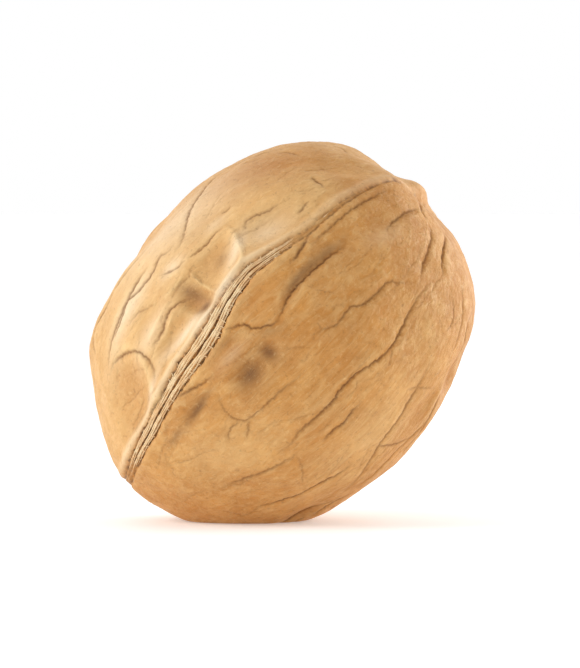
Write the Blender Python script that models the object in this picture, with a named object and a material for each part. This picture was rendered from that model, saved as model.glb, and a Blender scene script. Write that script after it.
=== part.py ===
"""A whole walnut in its shell, leaning with its beak up to the right.

One closed natural solid in metres, +Z up. The origin is the centre of the small flat
that the nut rests on. The shape is worked out in millimetres in the nut's own
directions: along its axis to the beak, across it, and towards the front.
"""

import math

import bmesh
import bpy
import numpy as np

# Size and place, in millimetres
HALF_LENGTH = 21.2
HALF_WIDTH = 17.1
HALF_DEPTH = 17.2
LEAN_DEG = 44.0
CENTRE_X = 3.4
CENTRE_Y = 0.3
CENTRE_Z = 18.45
FLAT_SOFTNESS = 0.25

# Mesh
SPHERE_SUBDIVISIONS = 8
TRIANGLES_KEPT = 11600

# Swellings of the outline: degrees from the beak in the picture's plane, turning up
# and left, then height and spread in degrees
LOBES = (
    (38.0, 1.25, 17.0),
    (-36.0, 0.38, 20.0),
    (-128.0, 0.52, 18.0),
    (156.0, -0.50, 14.0),
    (106.0, -0.55, 11.0),
    (128.0, 0.48, 10.0),
    (78.0, 0.42, 12.0),
    (-52.0, 0.15, 9.0),
    (176.0, -0.25, 9.0),
    (3.0, -1.50, 15.0),
)

# Beak: places beside the axis in degrees, in the seam's plane and across it
BEAK_BEARING = 28.0
# Beak's point: place across the seam's plane in degrees, height, and how fast it falls
# on its steep side, on its gentle side, and along the seam's plane
BEAK_TIP = (3.2, 1.30, 3.2, 8.8, 6.2)
# How far the point is rounded, and the height that keeps its top where it was
BEAK_ROUNDING = 0.06
BEAK_TOP_KEPT = 0.245
# Hollows beside it: across, along, height, spread across, spread along
BEAK_HOLLOWS = (
    (-2.8, 0.0, -1.53, 4.2, 9.0),
    (15.9, 6.0, -0.52, 7.4, 11.0),
)

# Seam: distance along the axis from the nut's middle, and bearing in degrees from the
# front towards the upper left
FRONT_SEAM = (
    (-21.2, 7.5), (-18.0, 10.8), (-15.9, 12.4), (-13.8, 14.0), (-11.3, 15.3),
    (-8.5, 17.0), (-5.8, 18.0), (-3.4, 19.6), (-1.2, 22.1), (0.9, 23.7), (3.0, 24.5),
    (5.4, 23.9), (7.7, 23.6), (9.7, 23.0), (12.5, 24.5), (15.1, 26.0), (17.3, 27.0),
    (19.0, 28.0), (21.2, 28.0),
)
BACK_SEAM = (
    (-21.2, 188.0), (-17.0, 191.0), (-12.0, 195.5), (-7.0, 198.0), (-2.0, 196.5),
    (3.0, 199.5), (8.0, 203.0), (13.0, 203.5), (17.0, 206.5), (21.2, 208.0),
)
# Half the width of the pale band between the seam's two cracks
BAND_FRONT = (
    (-21.2, 0.40), (-17.3, 0.56), (-14.0, 0.66), (-11.2, 0.66), (-9.5, 0.78),
    (-7.8, 0.90), (-4.0, 0.92), (-1.4, 0.76), (1.5, 0.62), (4.0, 0.50), (7.0, 0.36),
    (10.2, 0.27), (14.0, 0.20), (17.5, 0.04), (21.2, 0.0),
)
BAND_BACK = (
    (-21.2, 0.36), (-12.0, 0.56), (-4.0, 0.46), (3.0, 0.60), (9.0, 0.42),
    (14.0, 0.03), (21.2, 0.0),
)
KEEL = (0.50, 3.5)
# Height, distance from the band and half width of the seam's two lips
LEFT_LIP = (0.34, 0.52, 0.46)
RIGHT_LIP = (0.15, 0.50, 0.45)
# How much of the front lips goes towards the beak, from where, and over what length
LIP_FADE = (0.55, 4.0, 5.0)
# Depth and half width of the two cracks, and the share of the depth left at the tips
CRACK = (0.34, 0.20)
CRACK_AT_TIPS = 0.35
TIP_LENGTH = 3.0

# Furrows: the share of a line over which each end fades, the height of the swelling on
# both sides against the depth, and the depth from which the swelling gives way
END_FADE = 0.28
SWELL_SHARE = 0.30
SWELL_GIVES_WAY = 0.15
# Furrows seen from the front: half width, depth, and places in millimetres from the
# nut's middle, to the right and up
FURROWS = (
    # short branch that leaves the seam to the right
    (0.30, 0.30, ((-5.3, 1.5), (-4.4, 1.8), (-3.5, 2.0), (-2.5, 1.7), (-1.4, 1.9),
                  (-0.5, 2.2), (0.2, 2.8))),
    # long furrow down the right half, and its spur
    (0.30, 0.36, ((15.5, 6.3), (14.5, 5.4), (13.5, 3.9), (12.5, 2.0), (11.5, 0.3),
                  (10.0, -1.2), (7.8, -2.6), (6.1, -4.3), (5.2, -5.6), (3.7, -7.0),
                  (2.0, -8.5), (0.9, -10.0), (-0.6, -11.0))),
    (0.26, 0.14, ((11.2, -0.2), (11.0, -1.0), (10.7, -2.2))),
    # furrows that run up to the beak
    (0.32, 0.28, ((14.1, 6.3), (14.5, 8.0), (15.1, 10.2), (15.0, 11.7))),
    (0.32, 0.38, ((16.4, 6.5), (16.3, 8.0), (16.5, 9.5), (16.9, 11.1))),
    (0.28, 0.24, ((14.2, 15.1), (14.2, 13.2), (14.8, 12.3))),
    (0.30, 0.24, ((13.9, 13.3), (12.5, 12.9), (11.2, 12.0), (10.4, 11.0))),
    # lines down the right half
    (0.28, 0.24, ((13.6, 6.2), (11.9, 6.1), (10.8, 6.2), (9.3, 4.8), (8.0, 3.9),
                  (6.9, 3.7), (5.7, 2.2), (4.1, 1.5), (2.9, 0.9))),
    (0.30, 0.24, ((15.1, -1.4), (14.3, -3.5), (13.2, -5.7), (11.7, -8.0),
                  (10.4, -9.6), (9.3, -11.5), (8.0, -13.3), (6.1, -15.2))),
    (0.32, 0.28, ((18.1, -1.4), (16.8, -4.1), (15.3, -6.8), (13.8, -9.5),
                  (11.9, -11.8))),
    (0.32, 0.28, ((7.4, -15.1), (5.2, -16.3), (2.9, -17.6))),
    (0.26, 0.20, ((2.4, -2.4), (0.9, -3.6), (-0.6, -4.9), (-2.1, -6.6),
                  (-3.6, -7.7), (-4.8, -8.1), (-5.1, -9.6))),
    (0.26, 0.14, ((1.5, -10.9), (2.1, -12.0), (2.2, -14.1))),
    # deep line in the hollow left of the seam
    (0.34, 0.40, ((-12.7, -0.5), (-11.9, 1.1), (-11.2, 3.0), (-10.3, 4.0),
                  (-9.1, 4.8))),
    # lines of the left half
    (0.30, 0.24, ((-12.0, 6.8), (-10.9, 7.3), (-10.0, 7.7), (-9.5, 8.3))),
    (0.28, 0.26, ((-9.3, 8.3), (-8.1, 9.2), (-7.1, 10.1), (-6.6, 10.8),
                  (-5.6, 11.6))),
    (0.26, 0.16, ((-8.9, 7.7), (-9.0, 6.8), (-9.9, 5.9), (-10.7, 4.8))),
    (0.26, 0.14, ((-9.0, 6.8), (-8.2, 6.5), (-7.5, 5.8))),
    (0.32, 0.30, ((-10.5, 10.1), (-11.0, 9.2), (-12.0, 8.5), (-12.7, 7.2),
                  (-14.1, 5.4), (-15.4, 4.0), (-16.0, 2.6), (-16.7, 0.8),
                  (-17.2, -1.0), (-17.4, -2.9))),
    (0.34, 0.32, ((-4.9, 17.3), (-6.4, 16.2), (-8.0, 14.6), (-9.1, 13.1),
                  (-9.5, 11.7), (-9.8, 10.2), (-10.7, 8.7))),
    (0.26, 0.18, ((-4.9, 13.8), (-5.4, 13.3), (-6.1, 13.0))),
    (0.30, 0.24, ((-3.5, 11.2), (-3.3, 12.2), (-2.5, 12.7), (-1.2, 13.2),
                  (0.0, 13.9))),
    (0.30, 0.24, ((2.9, 14.0), (2.3, 13.4), (1.8, 12.7))),
    (0.30, 0.30, ((3.0, 16.3), (3.7, 15.8), (4.4, 15.2))),
    (0.28, 0.18, ((-0.2, 18.2), (0.9, 18.3), (2.0, 18.1))),
    (0.26, 0.14, ((5.4, 19.5), (6.3, 18.9), (6.7, 18.4))),
    (0.34, 0.28, ((-17.2, -3.2), (-16.8, -2.1), (-15.8, -1.2), (-14.3, -0.8),
                  (-13.2, -1.4), (-12.4, -2.7), (-12.3, -4.0))),
    (0.26, 0.14, ((-13.9, -5.3), (-14.4, -6.8), (-14.8, -8.5))),
    (0.26, 0.14, ((-15.1, 1.6), (-14.4, 2.9), (-13.3, 3.7), (-12.4, 4.1))),
    (0.30, 0.24, ((-10.7, -5.4), (-9.6, -4.9), (-8.3, -4.2), (-7.0, -3.4),
                  (-6.2, -2.6))),
    (0.28, 0.16, ((10.9, 15.0), (9.5, 14.4), (7.5, 13.4), (5.6, 12.0), (3.9, 10.5),
                  (2.9, 9.5))),
    (0.28, 0.16, ((17.9, 6.5), (18.1, 3.9), (17.7, 0.9), (16.6, -1.7))),
    (0.32, 0.32, ((2.9, 10.7), (2.1, 9.3), (1.2, 8.0))),
    # valley that runs beside the seam on its right, sharp in a broad hollow
    (0.36, 0.46, ((7.0, 10.1), (5.4, 9.1), (3.8, 7.8), (2.3, 6.4), (1.1, 5.1),
                  (0.5, 4.0), (0.0, 2.9), (-0.6, 2.0))),
    (1.15, 0.20, ((6.9, 10.5), (5.2, 9.5), (3.6, 8.2), (2.1, 6.7), (1.0, 5.3),
                  (0.5, 4.0))),
)

# Raised lines seen from the front: half width, height, and places
RIDGES = (
    # rim between the two dishes left of the seam
    (0.45, 0.24, ((-5.9, 11.8), (-4.7, 11.0), (-4.0, 9.9), (-3.6, 8.4), (-4.0, 7.3),
                  (-5.2, 5.9), (-6.4, 4.7))),
    # rims between the hollows further down
    (0.40, 0.22, ((-9.2, 7.4), (-8.5, 6.7), (-7.9, 6.1), (-6.9, 5.5), (-6.0, 5.0))),
    (0.40, 0.14, ((-13.2, -0.6), (-12.6, 1.2), (-11.8, 2.9), (-10.9, 4.2))),
    # rim of the oval hollow at the left
    (0.50, 0.20, ((-11.7, -2.6), (-11.6, -4.4), (-12.3, -6.4), (-13.3, -8.4))),
    # strip between the seam and the valley, and the valley's other bank
    (1.30, 0.12, ((7.4, 13.2), (5.3, 12.0), (3.5, 10.7), (1.8, 9.3), (0.2, 7.7),
                  (-1.0, 6.1), (-1.9, 4.5))),
    (1.00, 0.20, ((6.2, 8.6), (4.8, 7.4), (3.4, 5.9), (2.3, 4.5), (1.6, 3.3))),
)

# Dimples seen from the front: middle, long and short half sizes, turn in degrees,
# and depth
DIMPLES = (
    ((-6.5, 8.1), 2.5, 1.8, 60.0, 0.72),
    ((-8.4, 4.5), 1.9, 1.2, -20.0, 0.95),
    ((-10.2, 1.4), 3.0, 1.2, 50.0, 0.70),
    ((-15.1, -5.1), 4.1, 2.9, 100.0, 0.70),
    ((-1.6, 11.4), 2.8, 1.8, 32.0, 0.52),
    ((6.5, 17.2), 3.0, 1.8, 10.0, 0.45),
    ((-2.9, -2.8), 1.8, 1.4, 50.0, 0.42),
    ((-1.1, -0.6), 1.2, 1.0, 40.0, 0.32),
    ((-11.0, 7.8), 1.5, 1.0, 35.0, 0.22),
    ((-13.1, 3.1), 1.9, 1.4, 60.0, 0.22),
    ((-8.3, -6.5), 2.8, 0.7, 53.0, 0.24),
    ((9.3, 11.9), 2.8, 1.5, 30.0, 0.30),
    ((6.1, 3.9), 2.6, 1.7, 40.0, 0.18),
)

# The far side, which grows by a rule: veins from stem end to beak, short cross
# furrows, and dimples along the far seam
BACK_SEED = 41
BACK_SEAM_BEARING = 197.0
BACK_VEINS = (58.0, 74.0, 96.0, 118.0, 139.0, 160.0, 176.0,
              221.0, 238.0, 257.0, 274.0, 291.0, 308.0, 327.0)
BACK_TICKS = 24
BACK_DIMPLES = 30
# Low waves of the whole surface: how many, their shortest and longest length, height
WAVE_SEED = 7
WAVE_COUNT = 9
WAVE_LENGTHS = (6.5, 13.0)
WAVE_HEIGHT = 0.0625

# Nearest that a front view point may come to the outline, as a share of the way out
RIM_SHARE = 0.995

SHELL_COLOUR = (0.60, 0.34, 0.145, 1.0)
SHELL_ROUGHNESS = 0.55


def curve_through(points, step=0.18):
    """Points of a smooth curve through the given ones, evenly spaced."""
    pts = np.array(points, float)
    ends = np.vstack([2 * pts[0] - pts[1], pts, 2 * pts[-1] - pts[-2]])
    out = []
    for i in range(len(pts) - 1):
        p0, p1, p2, p3 = ends[i:i + 4]
        count = max(2, int(np.linalg.norm(p2 - p1) / step) + 1)
        t = np.linspace(0.0, 1.0, count, endpoint=False)[:, None]
        out.append(0.5 * (2 * p1 + (p2 - p0) * t
                          + (2 * p0 - 5 * p1 + 4 * p2 - p3) * t ** 2
                          + (3 * p1 - p0 - 3 * p2 + p3) * t ** 3))
    return np.vstack(out + [pts[-1:]])


def read_curve(points, x):
    """Value at x of a smooth curve through (x, value) points."""
    fine = curve_through(points, 0.25)
    return np.interp(x, fine[:, 0], fine[:, 1])


def to_nut(x, z):
    """Front view millimetres to distances along the axis and across it."""
    lean = math.radians(LEAN_DEG)
    return (x * math.cos(lean) + z * math.sin(lean),
            -x * math.sin(lean) + z * math.cos(lean))


def on_near_side(points):
    """Front view points laid on the near side of the plain egg form."""
    pts = np.array(points, float)
    u, v = to_nut(pts[:, 0], pts[:, 1])
    reach = np.sqrt((u / HALF_LENGTH) ** 2 + (v / HALF_WIDTH) ** 2)
    shrink = np.where(reach > RIM_SHARE, RIM_SHARE / np.maximum(reach, 1e-9), 1.0)
    u, v = u * shrink, v * shrink
    rest = 1.0 - (u / HALF_LENGTH) ** 2 - (v / HALF_WIDTH) ** 2
    return np.stack([u, v, HALF_DEPTH * np.sqrt(np.maximum(rest, 0.0))], axis=1)


def on_bearing(along, bearing_deg):
    """A point of the plain egg form, from its place along the axis and its bearing."""
    ring = np.sqrt(np.maximum(1.0 - (along / HALF_LENGTH) ** 2, 0.0))
    turn = np.radians(bearing_deg)
    return np.stack([along, HALF_WIDTH * ring * np.sin(turn),
                     HALF_DEPTH * ring * np.cos(turn)], axis=-1)


def egg_normals(base):
    """Outward unit normals of the plain egg form."""
    n = base / np.array([HALF_LENGTH, HALF_WIDTH, HALF_DEPTH]) ** 2
    return n / np.linalg.norm(n, axis=1)[:, None]


def lobes(unit):
    """Broad swellings, and the beak's ridge with the hollows beside it."""
    h = np.zeros(len(unit))
    for angle, height, spread in LOBES:
        a = math.radians(angle)
        away = np.degrees(np.arccos(np.clip(
            unit[:, 0] * math.cos(a) + unit[:, 1] * math.sin(a), -1.0, 1.0)))
        h += height * np.exp(-0.5 * (away / spread) ** 2)
    turn = math.radians(BEAK_BEARING)
    across = np.degrees(unit[:, 1] * math.cos(turn) - unit[:, 2] * math.sin(turn))
    along = np.degrees(unit[:, 1] * math.sin(turn) + unit[:, 2] * math.cos(turn))
    near = unit[:, 0] > 0.0
    at, height, steep, gentle, long = BEAK_TIP
    side = (across - at) / np.where(across < at, steep, gentle)
    h += near * height * np.exp(BEAK_TOP_KEPT - np.sqrt(side ** 2 + BEAK_ROUNDING)
                                - 0.5 * (along / long) ** 2)
    for at, at_along, height, wide, long in BEAK_HOLLOWS:
        h += near * height * np.exp(-0.5 * ((across - at) / wide) ** 2
                                    - 0.5 * ((along - at_along) / long) ** 2)
    return h


def seam(base):
    """Raised keel, lips and the two cracks of the seam, all round the nut."""
    along = base[:, 0]
    ring = np.hypot(base[:, 1], base[:, 2])
    bearing = np.arctan2(base[:, 1], base[:, 2])
    front = bearing - np.radians(read_curve(FRONT_SEAM, along))
    back = bearing - np.radians(read_curve(BACK_SEAM, along))
    on_front = np.cos(front) > np.cos(back)
    off = np.where(on_front, ring * np.sin(front), -ring * np.sin(back))
    far = np.where(on_front, np.cos(front), np.cos(back)) < 0.0
    off = np.where(far, np.sign(off) * ring, off)
    half = np.where(on_front, read_curve(BAND_FRONT, along),
                    read_curve(BAND_BACK, along))
    tip = np.clip((HALF_LENGTH - np.abs(along)) / TIP_LENGTH, 0.0, 1.0) ** 0.5
    h = KEEL[0] * np.exp(-(off / KEEL[1]) ** 2)
    lip = LEFT_LIP[0] * np.exp(-((off - half - LEFT_LIP[1]) / LEFT_LIP[2]) ** 2)
    lip += RIGHT_LIP[0] * np.exp(-((off + half + RIGHT_LIP[1]) / RIGHT_LIP[2]) ** 2)
    share, start, length = LIP_FADE
    h += tip * lip * (1.0 - share * np.clip((along - start) / length, 0.0, 1.0)
                      * on_front)
    left = np.exp(-((off - half) / CRACK[1]) ** 2)
    right = np.exp(-((off + half) / CRACK[1]) ** 2)
    h -= ((CRACK_AT_TIPS + (1.0 - CRACK_AT_TIPS) * tip) * CRACK[0]
          * np.maximum(left, right))
    return h


def furrow(base, line, half_width, depth):
    """Groove along a line of points, with a soft swelling on both sides."""
    line = np.asarray(line)
    middle = line.mean(axis=0)
    reach = np.linalg.norm(line - middle, axis=1).max() + 5.0 * half_width
    pick = np.nonzero(np.linalg.norm(base - middle, axis=1) < reach)[0]
    groove = np.zeros(len(base))
    swell = np.zeros(len(base))
    if len(pick) == 0:
        return groove, swell
    ends = np.arange(len(line)) * (1.0 / max(1, len(line) - 1))
    taper = np.clip(np.minimum(ends, 1.0 - ends) / END_FADE, 0.0, 1.0) ** 0.75
    near = base[pick]
    best = np.full(len(pick), 1e9)
    share = np.zeros(len(pick))
    for i in range(len(line)):
        d = ((near - line[i]) ** 2).sum(axis=1)
        closer = d < best
        best[closer] = d[closer]
        share[closer] = taper[i]
    away = np.sqrt(best)
    groove[pick] = depth * share * np.exp(-(away / half_width) ** 2)
    swell[pick] = SWELL_SHARE * depth * share * np.exp(
        -((away - 2.3 * half_width) / (1.2 * half_width)) ** 2)
    return groove, swell


def dimple(base, normals, middle, long, short, direction, depth):
    """Shallow oval hollow laid in the surface."""
    close = np.argmin(((base - middle) ** 2).sum(axis=1))
    n = normals[close]
    t1 = direction - n * direction.dot(n)
    t1 = t1 / np.linalg.norm(t1)
    t2 = np.cross(n, t1)
    off = base - middle
    r = (off.dot(t1) / long) ** 2 + (off.dot(t2) / short) ** 2
    deep = off.dot(n)
    return np.where(deep > -8.0, depth * np.exp(-(r ** 1.4) * 0.9), 0.0)


def back_lines():
    """Veins and cross furrows of the far side, grown from the stem end."""
    rng = np.random.default_rng(BACK_SEED)
    lines = []
    for bearing in BACK_VEINS:
        far = 75.0 < bearing < 305.0
        start = rng.uniform(-17.5, -14.0) if far else rng.uniform(-16.0, -12.0)
        stop = rng.uniform(11.0, 17.5) if far else rng.uniform(-6.0, 2.0)
        while start < stop - 4.0:
            end = min(stop, start + rng.uniform(7.0, 15.0))
            count = max(5, int((end - start) / 1.6))
            along = np.linspace(start, end, count)
            drift = rng.normal(0.0, 2.1, count).cumsum() * 0.55
            swing = 3.5 * np.sin(along * 0.22 + rng.uniform(0.0, 6.3))
            turn = bearing + swing + drift - drift.mean()
            pts = on_bearing(along, turn)
            lines.append((rng.uniform(0.28, 0.36), rng.uniform(0.20, 0.38), pts))
            start = end + rng.uniform(0.4, 2.4)
    for _ in range(BACK_TICKS):
        turn = rng.uniform(62.0, 318.0)
        if abs(turn - BACK_SEAM_BEARING) < 8.0:
            turn += 16.0
        along = rng.uniform(-15.0, 16.0)
        slope = rng.uniform(-1.0, 1.0)
        size = rng.uniform(1.6, 4.2)
        t = np.linspace(-0.5, 0.5, 5)
        bow = rng.uniform(-0.6, 0.6)
        pts = on_bearing(along + size * t * 0.8,
                         turn + size * (slope * t * 6.0 + bow * 9.0 * t ** 2))
        lines.append((rng.uniform(0.26, 0.32), rng.uniform(0.14, 0.26), pts))
    return lines


def back_dimples():
    """Dimples of the far side, most of them beside the far seam."""
    rng = np.random.default_rng(BACK_SEED + 1)
    found = []
    for k in range(BACK_DIMPLES):
        along = rng.uniform(-15.0, 15.0)
        side = 1.0 if k % 2 else -1.0
        spread = rng.uniform(11.0, 34.0) if k % 3 else rng.uniform(34.0, 118.0)
        centre = on_bearing(np.array([along]),
                            np.array([BACK_SEAM_BEARING + side * spread]))[0]
        tilt = rng.uniform(-0.7, 0.7)
        direction = np.array([math.cos(tilt), math.sin(tilt), 0.3 * tilt])
        found.append((centre, rng.uniform(1.6, 3.2), rng.uniform(1.0, 1.9),
                      direction, rng.uniform(0.22, 0.62)))
    return found


def waves(base):
    """Low, uneven swelling of the whole surface."""
    rng = np.random.default_rng(WAVE_SEED)
    h = np.zeros(len(base))
    for _ in range(WAVE_COUNT):
        way = rng.normal(size=3)
        way /= np.linalg.norm(way)
        length = rng.uniform(*WAVE_LENGTHS)
        h += np.sin(base.dot(way) * 2.0 * math.pi / length + rng.uniform(0.0, 6.3))
    return WAVE_HEIGHT * h


def shell_height(unit, base):
    """Height of the finished shell above the plain egg form."""
    normals = egg_normals(base)
    h = lobes(unit) + seam(base) + waves(base)
    groove = np.zeros(len(base))
    swell = np.zeros(len(base))
    lines = [(w, d, curve_through(on_near_side(p))) for w, d, p in FURROWS]
    lines += [(w, d, curve_through(p)) for w, d, p in back_lines()]
    for half_width, depth, line in lines:
        g, s = furrow(base, line, half_width, depth)
        groove = np.maximum(groove, g)
        swell = np.maximum(swell, s)
    h += swell * (1.0 - np.clip(groove / SWELL_GIVES_WAY, 0.0, 1.0)) - groove
    for half_width, height, points in RIDGES:
        line = curve_through(on_near_side(points))
        raised, _ = furrow(base, line, half_width, height)
        h += raised
    lean = math.radians(LEAN_DEG)
    for place, long, short, turn, depth in DIMPLES:
        middle = on_near_side([place])[0]
        a = math.radians(turn)
        direction = np.array([
            math.cos(a) * math.cos(lean) + math.sin(a) * math.sin(lean),
            -math.cos(a) * math.sin(lean) + math.sin(a) * math.cos(lean), 0.0])
        h -= dimple(base, normals, middle, long, short, direction, depth)
    for middle, long, short, direction, depth in back_dimples():
        h -= dimple(base, normals, middle, long, short, direction, depth)
    return h, normals


def stand(points):
    """Lean the nut, lift it, and press its underside flat at z = 0."""
    lean = math.radians(LEAN_DEG)
    u, v, d = points[:, 0], points[:, 1], points[:, 2]
    x = u * math.cos(lean) - v * math.sin(lean) + CENTRE_X
    y = -d + CENTRE_Y
    z = u * math.sin(lean) + v * math.cos(lean) + CENTRE_Z
    k = FLAT_SOFTNESS
    z = np.where(z > k, z, np.where(z < -k, 0.0, (z + k) ** 2 / (4.0 * k)))
    return np.stack([x, y, z], axis=1)


def shell_material():
    mat = bpy.data.materials.new("walnut_shell")
    mat.use_nodes = True
    shader = mat.node_tree.nodes["Principled BSDF"]
    shader.inputs["Base Color"].default_value = SHELL_COLOUR
    shader.inputs["Roughness"].default_value = SHELL_ROUGHNESS
    shader.inputs["Metallic"].default_value = 0.0
    return mat


def build_walnut(collection):
    bm = bmesh.new()
    bmesh.ops.create_icosphere(bm, subdivisions=SPHERE_SUBDIVISIONS, radius=1.0)
    mesh = bpy.data.meshes.new("walnut")
    bm.to_mesh(mesh)
    bm.free()

    flat = np.empty(len(mesh.vertices) * 3, np.float32)
    mesh.vertices.foreach_get("co", flat)
    unit = flat.reshape(-1, 3).astype(float)
    unit /= np.linalg.norm(unit, axis=1)[:, None]
    base = unit * np.array([HALF_LENGTH, HALF_WIDTH, HALF_DEPTH])
    height, normals = shell_height(unit, base)
    shaped = stand(base + normals * height[:, None])
    mesh.vertices.foreach_set("co", (shaped * 0.001).astype(np.float32).ravel())
    mesh.update()
    mesh.shade_smooth()

    obj = bpy.data.objects.new("walnut", mesh)
    collection.objects.link(obj)
    mesh.materials.append(shell_material())
    thin = obj.modifiers.new("fewer_faces", "DECIMATE")
    thin.ratio = TRIANGLES_KEPT / len(mesh.polygons)
    return obj


def main():
    for obj in list(bpy.data.objects):
        bpy.data.objects.remove(obj, do_unlink=True)
    collection = bpy.data.collections.new("Walnut")
    bpy.context.scene.collection.children.link(collection)
    build_walnut(collection)


main()
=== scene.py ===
"""Looks of a whole walnut in its shell, leaning with its beak up to the right.

The shell is worked out in millimetres in the nut's own directions: along its axis to
the beak, across it, and towards the front. It is then leaned, lifted and turned into
metres, so that it lies where the solid part lies.
"""

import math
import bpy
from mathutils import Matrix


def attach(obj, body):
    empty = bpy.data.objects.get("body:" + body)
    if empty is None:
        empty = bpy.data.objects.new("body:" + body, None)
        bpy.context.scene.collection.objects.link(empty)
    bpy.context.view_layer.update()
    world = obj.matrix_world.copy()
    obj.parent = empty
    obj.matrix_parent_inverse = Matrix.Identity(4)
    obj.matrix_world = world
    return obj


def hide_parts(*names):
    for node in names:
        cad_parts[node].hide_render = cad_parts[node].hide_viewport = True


bl_info = {
    "name": "Walnut",
    "version": (1, 0, 0),
    "blender": (4, 5, 0),
    "location": "View3D > Sidebar > Walnut",
    "description": "A whole walnut in its shell, with its seam, furrows and dimples",
    "category": "Add Mesh",
}

import bmesh
import bpy
import numpy as np
from bpy.props import FloatProperty, FloatVectorProperty, IntProperty, PointerProperty

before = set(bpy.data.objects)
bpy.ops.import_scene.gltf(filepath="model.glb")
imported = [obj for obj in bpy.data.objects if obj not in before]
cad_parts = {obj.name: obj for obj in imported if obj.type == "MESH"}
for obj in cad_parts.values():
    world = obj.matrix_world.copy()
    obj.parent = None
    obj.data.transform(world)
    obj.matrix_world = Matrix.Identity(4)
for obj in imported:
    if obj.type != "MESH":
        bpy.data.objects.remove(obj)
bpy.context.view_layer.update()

# Form of the nut, in millimetres and degrees, nearly all as in the solid part.
# Swellings of the outline: degrees from the beak, height, and spread in degrees
LOBES = (
    (38.0, 1.25, 17.0),
    (-36.0, 0.38, 20.0),
    (-128.0, 0.52, 18.0),
    (156.0, -0.50, 14.0),
    (106.0, -0.55, 11.0),
    (128.0, 0.48, 10.0),
    (78.0, 0.42, 12.0),
    (-52.0, 0.15, 9.0),
    (176.0, -0.25, 9.0),
    (3.0, -1.50, 15.0),
)
# The beak: its bearing, then the point's place across the seam's plane, height, and how
# fast it falls on its steep side, on its gentle side, and along the seam's plane
BEAK_BEARING = 28.0
BEAK_TIP = (3.2, 1.30, 3.2, 8.8, 6.2)
# How far the point is rounded, and the height that keeps its top where it was
BEAK_ROUNDING = 0.06
BEAK_TOP_KEPT = 0.245
# Hollows beside it: across, along, height, spread across, spread along
BEAK_HOLLOWS = (
    (-2.8, 0.0, -1.53, 4.2, 9.0),
    (15.9, 6.0, -0.52, 7.4, 11.0),
)
# The seam's line: distance along the axis, and bearing from the front to the upper left
FRONT_SEAM = (
    (-21.2, 7.5), (-18.0, 10.8), (-15.9, 12.4), (-13.8, 14.0), (-11.3, 15.3),
    (-8.5, 17.0), (-5.8, 18.0), (-3.4, 19.6), (-1.2, 22.1), (0.9, 23.7), (3.0, 24.5),
    (5.4, 23.9), (7.7, 23.6), (9.7, 23.0), (12.5, 24.5), (15.1, 26.0), (17.3, 27.0),
    (19.0, 28.0), (21.2, 28.0),
)
BACK_SEAM = (
    (-21.2, 188.0), (-17.0, 191.0), (-12.0, 195.5), (-7.0, 198.0), (-2.0, 196.5),
    (3.0, 199.5), (8.0, 203.0), (13.0, 203.5), (17.0, 206.5), (21.2, 208.0),
)
# Half the width of the pale band between the seam's two cracks
BAND_FRONT = (
    (-21.2, 0.40), (-17.3, 0.56), (-14.0, 0.66), (-11.2, 0.66), (-9.5, 0.78),
    (-7.8, 0.90), (-4.0, 0.92), (-1.4, 0.76), (1.5, 0.62), (4.0, 0.50), (7.0, 0.36),
    (10.2, 0.27), (14.0, 0.20), (17.5, 0.04), (21.2, 0.0),
)
BAND_BACK = (
    (-21.2, 0.36), (-12.0, 0.56), (-4.0, 0.46), (3.0, 0.60), (9.0, 0.42),
    (14.0, 0.03), (21.2, 0.0),
)
# Height and half width of the seam's broad keel
KEEL = (0.50, 3.5)
# Height, distance from the band and half width of the seam's two lips, and how much of
# the front ones goes towards the beak, from where, and over what length
LEFT_LIP = (0.34, 0.52, 0.46)
RIGHT_LIP = (0.15, 0.50, 0.45)
LIP_FADE = (0.55, 4.0, 5.0)
# Depth and half width of the two cracks, and the share of the depth left at the tips
CRACK = (0.30, 0.125)
CRACK_AT_TIPS = 0.35
TIP_LENGTH = 3.0
# How the cracks wander: size, quickness and start of each wave, then the teeth's
# length, and their size on the left and on the right
SWAY_WAVES = ((0.07, 2.3, 1.0), (0.05, 5.9, 0.0), (0.03, 11.3, 2.0))
TOOTH_LENGTH = 0.52
TEETH = (0.035, 0.045)
# The band between the cracks: its floor, its two rounded ridges, the softness of its
# edges, and the depth and half width of the groove in its middle
BAND_FLOOR = 0.12
BAND_RIDGES = 0.11
BAND_EDGE = 0.15
MIDDLE_GROOVE = (0.14, 0.12)

# Furrows: the share of a line over which each end fades, and the depth from which the
# swelling on both sides gives way
END_FADE = 0.28
SWELL_GIVES_WAY = 0.15
# A furrow across: share of its depth and of its half width in the soft groove, in the
# fine one in its middle, and in the swelling, which also has a distance
SOFT_GROOVE = (0.28, 1.05)
FINE_GROOVE = (0.36, 0.44)
SWELLING = (0.12, 1.2, 2.3)
# Its brown: share of the half width, the depth with full brown, and the least brown
FURROW_TINT = (0.48, 0.30, 0.25)
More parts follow.
